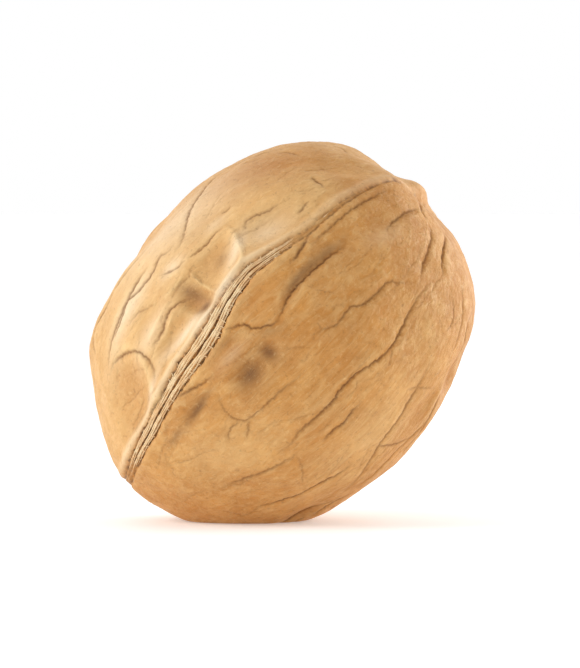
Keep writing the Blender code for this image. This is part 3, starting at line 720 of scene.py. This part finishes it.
    def in_seam(self, seam_line, band, along, share, lift):
        """Spots in the seam's band, in metres, and the band's half width there."""
        half = read_curve(band, along)
        ring = np.sqrt(1.0 - (along / self.half[0]) ** 2) * self.half[1]
        off = share * half * (-1.0 if band is BAND_BACK else 1.0)
        bearing = read_curve(seam_line, along) + np.degrees(off / ring)
        base = self.on_bearing(along, bearing)
        height = self.seam(base)["height"] + self.lobes(base / self.half)
        height += self.waves(base) + lift
        spots = base + self.normals(base) * height[:, None]
        return self.stand(spots) * MM, half

    def waves(self, base):
        """Low, uneven swelling of the whole surface."""
        rng = np.random.default_rng(WAVE_SEED)
        h = np.zeros(len(base))
        for _ in range(WAVE_COUNT):
            way = rng.normal(size=3)
            way /= np.linalg.norm(way)
            length = rng.uniform(*WAVE_LENGTHS)
            h += np.sin(base.dot(way) * 2.0 * math.pi / length
                        + rng.uniform(0.0, 6.3))
        return WAVE_HEIGHT * h

    def wander(self, line):
        """The line with a small smooth wander, so that it looks grown."""
        s = np.arange(len(line)) * LINE_STEP
        phase = line[0].sum()
        shift = np.zeros((len(line), 3))
        for much, length in WANDER_WAVES:
            turn = s * 2.0 * math.pi / length + phase * length
            shift += much * np.stack([np.sin(turn), np.sin(1.13 * turn + 1.0),
                                      np.sin(0.91 * turn + 2.0)], axis=1)
        return line + WANDER * shift

    def front_dimples(self):
        """The dimples seen from the front, in the way of back_dimples."""
        for place, long, short, turn, depth, tint, facing, raised in DIMPLES:
            yield (self.on_near_side([place])[0], long, short,
                   self.view_direction(turn), depth, self.view_direction(facing),
                   raised, tint, np.clip(raised / PALE_RIM_HEIGHT, 0.0, 1.0))

    def shape(self, unit):
        """Finished points of the shell as it stands, with their masks."""
        base = unit * self.half
        seam = self.seam(base)
        layers = {name: np.zeros(len(base)) for name in
                  ("groove", "swell", "crevice", "hollow", "stain", "deep")}
        lines = [(w, d, self.on_near_side(p)) for w, d, p in FURROWS + VALLEYS]
        lines += self.back_lines() + self.hairlines()
        for half_width, depth, points in lines:
            line = self.wander(curve_through(points, LINE_STEP))
            self.lay_line(base, line, half_width, depth, layers)
        groove, swell, hollow = layers["groove"], layers["swell"], layers["hollow"]
        h = self.lobes(unit) + seam["height"] + self.waves(base)
        h += swell * (1.0 - np.clip(groove / SWELL_GIVES_WAY, 0.0, 1.0)) - groove

        # pale and worn places, with painted light on the lit left side, less so towards
        # the far side
        nearness = 0.62 + base[:, 2] / 22.0
        # painted light: the half left of the seam is made paler where the light falls
        # on it
        crest_and_light = LIT_HALF * np.clip((seam["off"] - seam["half"]) / 2.0, 0.0, 1.0)
        crest_and_light *= np.clip(nearness, 0.30, 1.0)
        # the swellings beside each furrow get a painted highlight
        crest_and_light = (crest_and_light + PALE_LIP * seam["lip"]
                 + np.clip(swell / 0.05, 0.0, 1.0) * SWELLING_HIGHLIGHT)
        # the left lip's worn paleness is partly wear and partly painted light on that
        # lit side
        worn_and_light = WORN_AND_LIT_LIP * seam["lip"] * (seam["off"] > 0.0)
        worn_and_light *= np.clip(nearness, 0.40, 1.0)
        for half_width, height, points in RIDGES:
            line = curve_through(self.on_near_side(points), LINE_STEP)
            pick, away, share = self.near_line(base, line, 3.0 * half_width)
            raised = share * np.exp(-(away / half_width) ** 2)
            h[pick] += height * raised
            if half_width < BROAD_RIDGE:
                crest_and_light[pick] = np.maximum(crest_and_light[pick], PALE_RIDGE * raised)
        for (middle, long, short, direction, depth, side, raised, tint,
             pale) in (*self.front_dimples(), *self.back_dimples()):
            mask, rim = self.oval(base, middle, long, short, direction, side=side)
            h += raised * rim - depth * mask
            # darker inside each dimple: painted shade
            np.maximum(hollow, tint * mask, out=hollow)
            np.maximum(crest_and_light, pale * rim, out=crest_and_light)
        for places, layer in ((STAINS, layers["stain"]), (PALE_AND_LIT_PLACES, worn_and_light),
                              (BROAD_PALE_AND_LIT, crest_and_light), (BROAD_DEEP_AND_SHADOW, layers["deep"])):
            for place, long, short, turn, strength in places:
                middle = self.on_near_side([place])[0]
                mask = self.oval(base, middle, long, short,
                                 self.view_direction(turn), 0.8)
                np.maximum(layer, strength * mask, out=layer)

        points = self.stand(base + self.normals(base) * h[:, None])
        deep = layers["deep"]
        masks = {
            "crevice": np.clip(layers["crevice"], 0.0, 1.0),
            "crack": np.clip(seam["crack"], 0.0, 1.0),
            "band": np.clip(seam["band"], 0.0, 1.0),
            "crest_and_light": np.clip(crest_and_light * (1.0 - 0.5 * hollow) * (1.0 - deep), 0.0, 1.0),
            # painted shade in the dimples, with the broad deeper areas and their
            # painted shadow at the top
            "hollow": np.maximum(hollow, deep),
            "worn_and_light": worn_and_light,
            "stain": layers["stain"],
            "free": np.clip(points[:, 2] / 1.2, 0.0, 1.0),
        }
        return points, masks


def feed(tree, socket, value):
    """Set a socket to a value, or link it where the value is a socket itself."""
    if isinstance(value, bpy.types.NodeSocket):
        tree.links.new(value, socket)
    else:
        socket.default_value = value


def add_node(tree, kind, place, inputs=None, **values):
    """A node at a place in the tree, with its properties set and its inputs fed."""
    node = tree.nodes.new(kind)
    node.location = (place[0] * COLUMN, place[1] * ROW)
    for key, value in values.items():
        setattr(node, key, value)
    for key, value in (inputs or {}).items():
        feed(tree, node.inputs[key], value)
    return node


def reckon(tree, operation, first, second, place, **values):
    """A sum of two numbers, each a socket or a value."""
    return add_node(tree, "ShaderNodeMath", place, {0: first, 1: second},
                    operation=operation, **values).outputs[0]


def reckon_vector(tree, operation, vector, by, place):
    """A vector changed by another vector, or scaled by a number."""
    key = "Scale" if operation == "SCALE" else 1
    return add_node(tree, "ShaderNodeVectorMath", place, {0: vector, key: by},
                    operation=operation).outputs[0]


def new_tree(name, kind, inputs, outputs):
    """A node group with named inputs and outputs, and its input node's sockets."""
    tree = bpy.data.node_groups.new(name, kind)
    for label, socket, default in inputs:
        made = tree.interface.new_socket(label, in_out="INPUT", socket_type=socket)
        if default is not None:
            made.default_value = default
    for label, socket in outputs:
        tree.interface.new_socket(label, in_out="OUTPUT", socket_type=socket)
    return tree, add_node(tree, "NodeGroupInput", (0, 0)).outputs


def end_tree(tree, geometry, material, column):
    """End a tree in Realize Instances and Set Material."""
    real = add_node(tree, "GeometryNodeRealizeInstances", (column, 0), {0: geometry})
    paint = add_node(tree, "GeometryNodeSetMaterial", (column + 1, 0),
                     {"Geometry": real.outputs[0], "Material": material})
    add_node(tree, "NodeGroupOutput", (column + 2, 0), {0: paint.outputs[0]})


def add_spline(curve, spots, radii):
    """A poly spline through the spots, with a radius at each."""
    spline = curve.splines.new("POLY")
    spline.points.add(len(spots) - 1)
    flat = np.hstack([spots, np.ones((len(spots), 1))])
    spline.points.foreach_set("co", flat.astype(np.float32).ravel())
    spline.points.foreach_set("radius", np.asarray(radii, np.float32))


def add_maker(obj, name, tree, given):
    """A Geometry Nodes modifier, with its inputs set by their labels."""
    modifier = obj.modifiers.new(name, "NODES")
    modifier.node_group = tree
    keys = {item.name: item.identifier for item in tree.interface.items_tree
            if item.item_type == "SOCKET" and item.in_out == "INPUT"}
    for label, value in given.items():
        modifier[keys[label]] = value


def wrinkle_tree():
    """Small uneven swellings, longer along the nut than across it."""
    tree, given = new_tree(
        "shell_wrinkles", "GeometryNodeTree",
        [("Geometry", "NodeSocketGeometry", None),
         ("Height", "NodeSocketFloat", 0.00009),
         ("Size", "NodeSocketFloat", 0.0021),
         ("Lean", "NodeSocketFloat", 0.768),
         ("Seed", "NodeSocketInt", 5),
         ("Material", "NodeSocketMaterial", None)],
        [("Geometry", "NodeSocketGeometry")])
    place = add_node(tree, "GeometryNodeInputPosition", (0, -2)).outputs[0]
    turned = add_node(tree, "ShaderNodeVectorRotate", (1, -2),
                      {"Vector": place, "Angle": given["Lean"]},
                      rotation_type="Y_AXIS").outputs[0]
    drawn = reckon_vector(tree, "MULTIPLY", turned, (0.55, 1.0, 1.0), (2, -2))
    scale = reckon(tree, "DIVIDE", 1.0, given["Size"], (2, -3))
    noise = add_node(tree, "ShaderNodeTexNoise", (3, -2),
                     {"Vector": drawn, "Scale": scale, "W": given["Seed"],
                      "Detail": 3.0, "Roughness": 0.55}, noise_dimensions="4D")
    free = add_node(tree, "GeometryNodeInputNamedAttribute", (3, -4),
                    {"Name": "free"}, data_type="FLOAT").outputs["Attribute"]
    middle = reckon(tree, "SUBTRACT", noise.outputs["Fac"], 0.5, (4, -2))
    masked = reckon(tree, "MULTIPLY", middle, free, (5, -2))
    height = reckon(tree, "MULTIPLY", masked, given["Height"], (6, -2))
    full = reckon(tree, "MULTIPLY", height, 4.0, (7, -2))
    normal = add_node(tree, "GeometryNodeInputNormal", (6, -3)).outputs[0]
    push = reckon_vector(tree, "SCALE", normal, full, (8, -2))
    moved = add_node(tree, "GeometryNodeSetPosition", (9, 0),
                     {"Geometry": given["Geometry"], "Offset": push}).outputs[0]
    end_tree(tree, moved, given["Material"], 10)
    return tree


def strand_tree():
    """Thin pale strands that follow the lanes of the seam."""
    tree, given = new_tree(
        "seam_strands", "GeometryNodeTree",
        [("Geometry", "NodeSocketGeometry", None),
         ("Radius", "NodeSocketFloat", 0.00013),
         ("Sway", "NodeSocketFloat", 0.0003),
         ("Spacing", "NodeSocketFloat", 0.00022),
         ("Seed", "NodeSocketInt", 5),
         ("Material", "NodeSocketMaterial", None)],
        [("Geometry", "NodeSocketGeometry")])
    even = add_node(tree, "GeometryNodeResampleCurve", (1, 0),
                    {"Curve": given["Geometry"], "Length": given["Spacing"]},
                    mode="LENGTH").outputs[0]
    place = add_node(tree, "GeometryNodeInputPosition", (0, -2)).outputs[0]
    sway = add_node(tree, "ShaderNodeTexNoise", (1, -2),
                    {"Vector": place, "W": given["Seed"], "Scale": 900.0,
                     "Detail": 2.0}, noise_dimensions="4D").outputs["Color"]
    centred = reckon_vector(tree, "SUBTRACT", sway, (0.5, 0.5, 0.5), (2, -2))
    shift = reckon_vector(tree, "SCALE", centred, given["Sway"], (3, -2))
    moved = add_node(tree, "GeometryNodeSetPosition", (4, 0),
                     {"Geometry": even, "Offset": shift}).outputs[0]
    thick = add_node(tree, "ShaderNodeTexNoise", (2, -4),
                     {"Vector": place, "W": given["Seed"], "Scale": 1300.0,
                      "Detail": 1.0}, noise_dimensions="4D").outputs["Fac"]
    spread = add_node(tree, "ShaderNodeMapRange", (3, -4),
                      {"Value": thick, "From Min": 0.36, "From Max": 0.62,
                       "To Min": 0.65, "To Max": 1.10}).outputs["Result"]
    ends = add_node(tree, "GeometryNodeInputRadius", (3, -6)).outputs[0]
    both = reckon(tree, "MULTIPLY", spread, ends, (4, -4))
    radius = reckon(tree, "MULTIPLY", both, given["Radius"], (5, -4))
    ring = add_node(tree, "GeometryNodeCurvePrimitiveCircle", (6, -2),
                    {"Resolution": 6, "Radius": 1.0}, mode="RADIUS").outputs[0]
    tube = add_node(tree, "GeometryNodeCurveToMesh", (7, 0),
                    {"Fill Caps": True, "Curve": moved, "Profile Curve": ring,
                     "Scale": radius}).outputs[0]
    smooth = add_node(tree, "GeometryNodeSetShadeSmooth", (8, 0),
                      {"Geometry": tube}).outputs[0]
    end_tree(tree, smooth, given["Material"], 9)
    return tree


def grain_group():
    """Mottle, streaks, flecks and pores of a nut's shell, in its own directions."""
    if "shell_grain" in bpy.data.node_groups:
        return bpy.data.node_groups["shell_grain"]
    results = ("Mottle", "Patches", "Streaks", "Pale Flecks", "Dark Flecks", "Pores",
               "Dots")
    tree, given = new_tree(
        "shell_grain", "ShaderNodeTree",
        [("Vector", "NodeSocketVector", None),
         ("Mottle Size", "NodeSocketFloat", 4.5),
         ("Streak Width", "NodeSocketFloat", 0.55),
         ("Fleck Size", "NodeSocketFloat", 0.42)],
        [(label, "NodeSocketFloat") for label in results])
    out = add_node(tree, "NodeGroupOutput", (6, 0)).inputs

    def noise(vector, scale, detail, roughness, row, distortion=0.0):
        return add_node(tree, "ShaderNodeTexNoise", (3, row),
                        {"Vector": vector, "Scale": scale, "Detail": detail,
                         "Roughness": roughness,
                         "Distortion": distortion}).outputs["Fac"]

    def put_out(label, value, low, high, row):
        spread = add_node(tree, "ShaderNodeMapRange", (4, row),
                          {"From Min": low, "From Max": high, "Value": value})
        feed(tree, out[label], spread.outputs["Result"])

    here = given["Vector"]
    mottle_scale = reckon(tree, "DIVIDE", 1.0, given["Mottle Size"], (1, 4))
    streak_scale = reckon(tree, "DIVIDE", 1.0, given["Streak Width"], (1, 1))
    fleck_scale = reckon(tree, "DIVIDE", 1.0, given["Fleck Size"], (1, -1))
    drawn = reckon_vector(tree, "MULTIPLY", here, (0.16, 1.0, 1.0), (2, 1))
    short = reckon_vector(tree, "MULTIPLY", here, (2.6, 0.9, 0.9), (2, -5))
    put_out("Mottle", noise(here, mottle_scale, 4.0, 0.55, 4, 0.4), 0.34, 0.66, 4)
    put_out("Patches", noise(here, 0.62, 5.0, 0.62, 3, 0.6), 0.36, 0.66, 3)
    put_out("Streaks", noise(drawn, streak_scale, 5.0, 0.6, 1, 0.8), 0.38, 0.66, 1)
    flecks = noise(here, fleck_scale, 3.0, 0.65, -1)
    put_out("Pale Flecks", flecks, 0.585, 0.70, -1)
    put_out("Dark Flecks", flecks, 0.415, 0.30, -2)
    feed(tree, out["Pores"], noise(here, fleck_scale, 6.0, 0.7, -3, 0.2))
    put_out("Dots", noise(short, 1.0, 1.0, 0.5, -5), 0.36, 0.52, -5)
    return tree


def lay_colours(tree, colour, layers):
    """Colours laid one over the other, each by a mask and its strength."""
    for column, (above, mask, strength) in enumerate(layers):
        mix = add_node(tree, "ShaderNodeMix", (column + 1, 2), data_type="RGBA")
        below_socket, above_socket = [s for s in mix.inputs if s.type == "RGBA"]
        feed(tree, below_socket, colour)
        feed(tree, above_socket, above)
        feed(tree, mix.inputs[0],
             reckon(tree, "MULTIPLY", mask, strength, (column, 1)))
        colour = [s for s in mix.outputs if s.type == "RGBA"][0]
    return colour


def start_material(name, settings, column):
    """A material with the shell's grain: its tree, its shader and the grain node."""
    mat = bpy.data.materials.new(name)
    mat.use_nodes = True
    tree = mat.node_tree
    shader = tree.nodes["Principled BSDF"]
    shader.location = (column * COLUMN, 0.0)
    tree.nodes["Material Output"].location = ((column + 2) * COLUMN, 0.0)
    where = add_node(tree, "ShaderNodeTexCoord", (-3, 0)).outputs["Object"]
    # millimetres, turned so that X runs to the beak
    turned = add_node(tree, "ShaderNodeMapping", (-2, 0),
                      {"Vector": where, "Scale": (1.0 / MM, 1.0 / MM, 1.0 / MM),
                       "Rotation": (0.0, settings.form.lean, 0.0)},
                      vector_type="POINT").outputs["Vector"]
    grain = add_node(tree, "ShaderNodeGroup", (-1, 0), node_tree=grain_group())
    feed(tree, grain.inputs["Vector"], turned)
    return mat, tree, shader, grain


def add_bump(tree, shader, height, strength, distance, place):
    """Very fine relief of a material."""
    bump = add_node(tree, "ShaderNodeBump", place,
                    {"Strength": strength, "Distance": distance, "Height": height})
    feed(tree, shader.inputs["Normal"], bump.outputs["Normal"])


def shell_material(settings):
    """Tan shell: mottled, streaked along the nut, brown in its furrows."""
    colours = settings.colours
    mat, tree, shader, grain = start_material("walnut_shell", settings, 14)
    grain = grain.outputs
    names = ("crevice", "crack", "band", "crest_and_light", "hollow", "stain", "worn_and_light")
    mask = {name: add_node(tree, "ShaderNodeAttribute", (-1, -3 - row),
                           attribute_name=name).outputs["Fac"]
            for row, name in enumerate(names)}
    dots = reckon(tree, "MULTIPLY", mask["crack"], grain["Dots"], (10, 0))
    colour = lay_colours(tree, colours.shell, (
        (colours.shell_deep, grain["Mottle"], 0.60),
        (colours.pale_tan_and_light, grain["Streaks"], 0.30),
        (colours.shell_deep, grain["Patches"], 0.42),
        # painted shade in the dimples, and the broad deeper areas, partly painted
        # shadow at the top
        (colours.shell_deep, mask["hollow"], 0.60),
        # pale lips, ridges and rims, with painted light on the left half and lower
        # part, and painted highlights beside the furrows
        (colours.pale_tan_and_light, mask["crest_and_light"], 0.75),
        # worn places, with painted light on the left lip and the upper left
        (colours.worn_tan_and_light, mask["worn_and_light"], 0.80),
        (colours.furrow, mask["band"], 0.22),
        (colours.stain, mask["stain"], 0.85),
        (colours.pale_tan_and_light, grain["Pale Flecks"], 0.22),
        (colours.furrow, grain["Dark Flecks"], 0.26),
        (colours.furrow, mask["crevice"], 0.85),
        (colours.crack, dots, 0.95)))
    feed(tree, shader.inputs["Base Color"], colour)

    rough = add_node(tree, "ShaderNodeMapRange", (8, -2),
                     {"Value": grain["Patches"], "To Min": 0.47, "To Max": 0.64})
    dull = reckon(tree, "MULTIPLY", mask["crevice"], 0.25, (8, -3))
    feed(tree, shader.inputs["Roughness"],
         reckon(tree, "ADD", rough.outputs["Result"], dull, (9, -2), use_clamp=True))
    shader.inputs["Specular IOR Level"].default_value = 0.32

    pores = reckon(tree, "MULTIPLY", grain["Pores"], 0.8, (6, -4))
    lines = reckon(tree, "MULTIPLY", grain["Streaks"], 0.45, (6, -5))
    relief = reckon(tree, "ADD", pores, lines, (7, -4))
    add_bump(tree, shader, relief, 0.75, 0.00016, (8, -4))
    return mat


def strand_material(settings):
    """Pale, dry strands with darker flecks."""
    colours = settings.colours
    mat, tree, shader, grain = start_material("seam_strand", settings, 5)
    grain.inputs["Mottle Size"].default_value = 1.3
    grain.inputs["Streak Width"].default_value = 0.20
    grain = grain.outputs
    colour = lay_colours(tree, colours.strand, (
        (colours.shell, grain["Mottle"], 0.55),
        (colours.furrow, grain["Streaks"], 0.22)))
    feed(tree, shader.inputs["Base Color"], colour)
    shader.inputs["Roughness"].default_value = 0.75
    add_bump(tree, shader, grain["Pores"], 0.4, 0.00005, (3, -2))
    return mat


def floor_material(stage):
    """Pale floor that shines a little by itself."""
    mat = bpy.data.materials.new("studio_floor")
    mat.use_nodes = True
    inputs = mat.node_tree.nodes["Principled BSDF"].inputs
    inputs["Base Color"].default_value = stage.floor
    inputs["Roughness"].default_value = 0.6
    inputs["Emission Color"].default_value = (1.0, 1.0, 1.0, 1.0)
    inputs["Emission Strength"].default_value = stage.floor_glow
    return mat


def freeze(obj, name):
    """The object's finished mesh as a new plain object, in place of the old one."""
    graph = bpy.context.evaluated_depsgraph_get()
    mesh = bpy.data.meshes.new_from_object(obj.evaluated_get(graph))
    made = bpy.data.objects.new(name, mesh)
    bpy.context.scene.collection.objects.link(made)
    old = obj.data
    bpy.data.objects.remove(obj, do_unlink=True)
    if isinstance(old, bpy.types.Mesh):
        bpy.data.meshes.remove(old)
    else:
        bpy.data.curves.remove(old)
    if len(mesh.polygons) == 0:
        raise RuntimeError(name + " has no faces")
    mesh.name = name
    return made


def unit_sphere(subdivisions):
    """A round mesh of small, even triangles, and its points as directions."""
    bm = bmesh.new()
    bmesh.ops.create_icosphere(bm, subdivisions=subdivisions, radius=1.0)
    mesh = bpy.data.meshes.new("walnut_round")
    bm.to_mesh(mesh)
    bm.free()
    flat = np.empty(len(mesh.vertices) * 3, np.float32)
    mesh.vertices.foreach_get("co", flat)
    unit = flat.reshape(-1, 3).astype(float)
    return mesh, unit / np.linalg.norm(unit, axis=1)[:, None]


class WALNUT_OT_shell(bpy.types.Operator):
    """Make the shell with its seam, beak, furrows and dimples"""

    bl_idname = "walnut.shell"
    bl_label = "Shell"

    def execute(self, context):
        settings = context.scene.walnut
        mesh, unit = unit_sphere(SPHERE_SUBDIVISIONS)
        points, masks = NutForm(settings).shape(unit)
        mesh.vertices.foreach_set("co", (points * MM).astype(np.float32).ravel())
        for name, values in masks.items():
            layer = mesh.attributes.new(name, "FLOAT", "POINT")
            layer.data.foreach_set("value", values.astype(np.float32))
        mesh.update()
        mesh.shade_smooth()
        rough = bpy.data.objects.new("walnut_rough", mesh)
        context.scene.collection.objects.link(rough)
        material = shell_material(settings)
        mesh.materials.append(material)
        relief = settings.relief
        add_maker(rough, "wrinkles", wrinkle_tree(), {
            "Height": relief.wrinkle_height, "Size": relief.wrinkle_size,
            "Lean": settings.form.lean, "Seed": relief.seed, "Material": material})
        thin = rough.modifiers.new("fewer_faces", "DECIMATE")
        thin.ratio = settings.form.triangles / len(mesh.polygons)
        shell = freeze(rough, "walnut_shell")
        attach(shell, "root")
        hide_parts("walnut")
        return {"FINISHED"}


class WALNUT_OT_seam_strands(bpy.types.Operator):
    """Make the pale strands that lie in the seam"""

    bl_idname = "walnut.seam_strands"
    bl_label = "Seam strands"

    def execute(self, context):
        settings = context.scene.walnut
        relief = settings.relief
        form = NutForm(settings)
        curve = bpy.data.curves.new("seam_lanes", "CURVE")
        curve.dimensions = "3D"
        rng = np.random.default_rng(relief.seed)
        for seam_line, band in ((FRONT_SEAM, BAND_FRONT), (BACK_SEAM, BAND_BACK)):
            for lane in STRAND_LANES:
                start, stop = rng.uniform(-20.0, -18.6), rng.uniform(8.5, 13.5)
                along = np.arange(start, stop, STRAND_STEP)
                swing = lane + 0.04 * np.sin(along * 1.9 + lane * 7.0)
                spots, half = form.in_seam(seam_line, band, along, swing, 0.03)
                ends = np.clip(np.minimum(along - start, stop - along) / 1.5, 0.15, 1)
                add_spline(curve, spots, ends * np.clip(half / 0.85, 0.25, 1.1))
            for side in (-1.0, 1.0):
                for start in np.arange(-18.5, 7.5, TOOTH_LENGTH):
                    if rng.random() < TEETH_SKIPPED:
                        continue
                    at = start + rng.uniform(-0.05, 0.05)
                    ends = np.array([at, at + rng.uniform(0.1, 0.3)])
                    share = side * np.array([rng.uniform(0.3, 0.7), 1.22])
                    spots, _ = form.in_seam(seam_line, band, ends, share, 0.05)
                    t = np.linspace(0.0, 1.0, 5)[:, None]
                    spots = spots[0] * (1.0 - t) + spots[1] * t
                    add_spline(curve, spots, 0.50 - 0.25 * t[:, 0])
        rough = bpy.data.objects.new("seam_lanes", curve)
        context.scene.collection.objects.link(rough)
        material = strand_material(settings)
        curve.materials.append(material)
        add_maker(rough, "strands", strand_tree(), {
            "Radius": relief.strand_radius, "Sway": relief.strand_sway,
            "Seed": relief.seed, "Material": material})
        strands = freeze(rough, "seam_strands")
        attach(strands, "root")
        return {"FINISHED"}


class WALNUT_OT_stage(bpy.types.Operator):
    """Make the floor, the soft lights and the camera"""

    bl_idname = "walnut.stage"
    bl_label = "Stage"

    def execute(self, context):
        stage = context.scene.walnut.stage
        bm = bmesh.new()
        bmesh.ops.create_circle(bm, cap_ends=True, segments=96, radius=3.0)
        mesh = bpy.data.meshes.new("floor")
        bm.to_mesh(mesh)
        bm.free()
        floor = bpy.data.objects.new("floor", mesh)
        context.scene.collection.objects.link(floor)
        mesh.materials.append(floor_material(stage))

        for name, power, width, place in (
                ("side_light", stage.side_light, 0.16, (-0.30, -0.07, 0.17)),
                ("rim_light", stage.rim_light, 0.22, (0.27, 0.14, 0.06)),
                ("front_light", stage.front_light, 0.25, (0.06, -0.30, 0.12))):
            lamp = bpy.data.lights.new(name, "AREA")
            lamp.shape = "RECTANGLE"
            lamp.size = lamp.size_y = width
            lamp.energy = power
            obj = bpy.data.objects.new(name, lamp)
            obj.location = place
            obj.rotation_euler = direction_euler(np.array(LAMP_AIM) - np.array(place))
            context.scene.collection.objects.link(obj)

        world = bpy.data.worlds.new("studio")
        world.use_nodes = True
        tree = world.node_tree
        where = add_node(tree, "ShaderNodeTexCoord", (-4, 0)).outputs["Generated"]
        parts = add_node(tree, "ShaderNodeSeparateXYZ", (-3, 0), {0: where})
        fade = add_node(tree, "ShaderNodeMapRange", (-2, 0),
                        {"Value": parts.outputs["Y"], "From Min": -0.8,
                         "From Max": 0.3, "To Min": stage.surround_front,
                         "To Max": stage.surround}, interpolation_type="SMOOTHSTEP")
        background = tree.nodes["Background"].inputs
        background["Color"].default_value = (1.0, 1.0, 1.0, 1.0)
        feed(tree, background["Strength"], fade.outputs["Result"])
        context.scene.world = world
        context.scene.view_settings.view_transform = "Standard"

        data = bpy.data.cameras.new("camera")
        data.lens = data.sensor_width * stage.camera_distance / stage.view_height
        data.clip_start = 0.01
        data.clip_end = 20.0
        camera = bpy.data.objects.new("camera", data)
        rise = stage.camera_rise
        back = np.array([0.0, -math.cos(rise), math.sin(rise)])
        camera.location = np.array(PICTURE_MIDDLE) + back * stage.camera_distance
        camera.rotation_euler = direction_euler(-back)
        context.scene.collection.objects.link(camera)
        context.scene.camera = camera
        return {"FINISHED"}


def direction_euler(way):
    """Turn that points an object's own -Z along a direction, with its Y up."""
    x, y, z = way / np.linalg.norm(way)
    return (math.acos(max(-1.0, min(1.0, -z))), 0.0, math.atan2(-x, y))


class WalnutSettings(bpy.types.PropertyGroup):
    """All settings of the walnut"""

    form: PointerProperty(type=WalnutForm)
    relief: PointerProperty(type=WalnutRelief)
    colours: PointerProperty(type=WalnutColours)
    stage: PointerProperty(type=WalnutStage)


class WALNUT_PT_panel(bpy.types.Panel):
    """Settings and makers of the walnut"""

    bl_idname = "WALNUT_PT_panel"
    bl_label = "Walnut"
    bl_space_type = "VIEW_3D"
    bl_region_type = "UI"
    bl_category = "Walnut"

    def draw(self, context):
        settings = context.scene.walnut
        for title in ("form", "relief", "colours", "stage"):
            box = self.layout.box()
            box.label(text=title.capitalize())
            group = getattr(settings, title)
            for name in group.__annotations__:
                box.prop(group, name)
        for maker in OPERATORS:
            self.layout.operator(maker.bl_idname)


OPERATORS = (WALNUT_OT_shell, WALNUT_OT_seam_strands, WALNUT_OT_stage)
CLASSES = (WalnutForm, WalnutRelief, WalnutColours, WalnutStage, WalnutSettings,
           *OPERATORS, WALNUT_PT_panel)


def register():
    for made in CLASSES:
        bpy.utils.register_class(made)
    bpy.types.Scene.walnut = PointerProperty(type=WalnutSettings)


def unregister():
    del bpy.types.Scene.walnut
    for made in reversed(CLASSES):
        bpy.utils.unregister_class(made)


def main():
    register()
    bpy.ops.walnut.shell()
    bpy.ops.walnut.seam_strands()
    bpy.ops.walnut.stage()


if __name__ == "__main__":
    main()
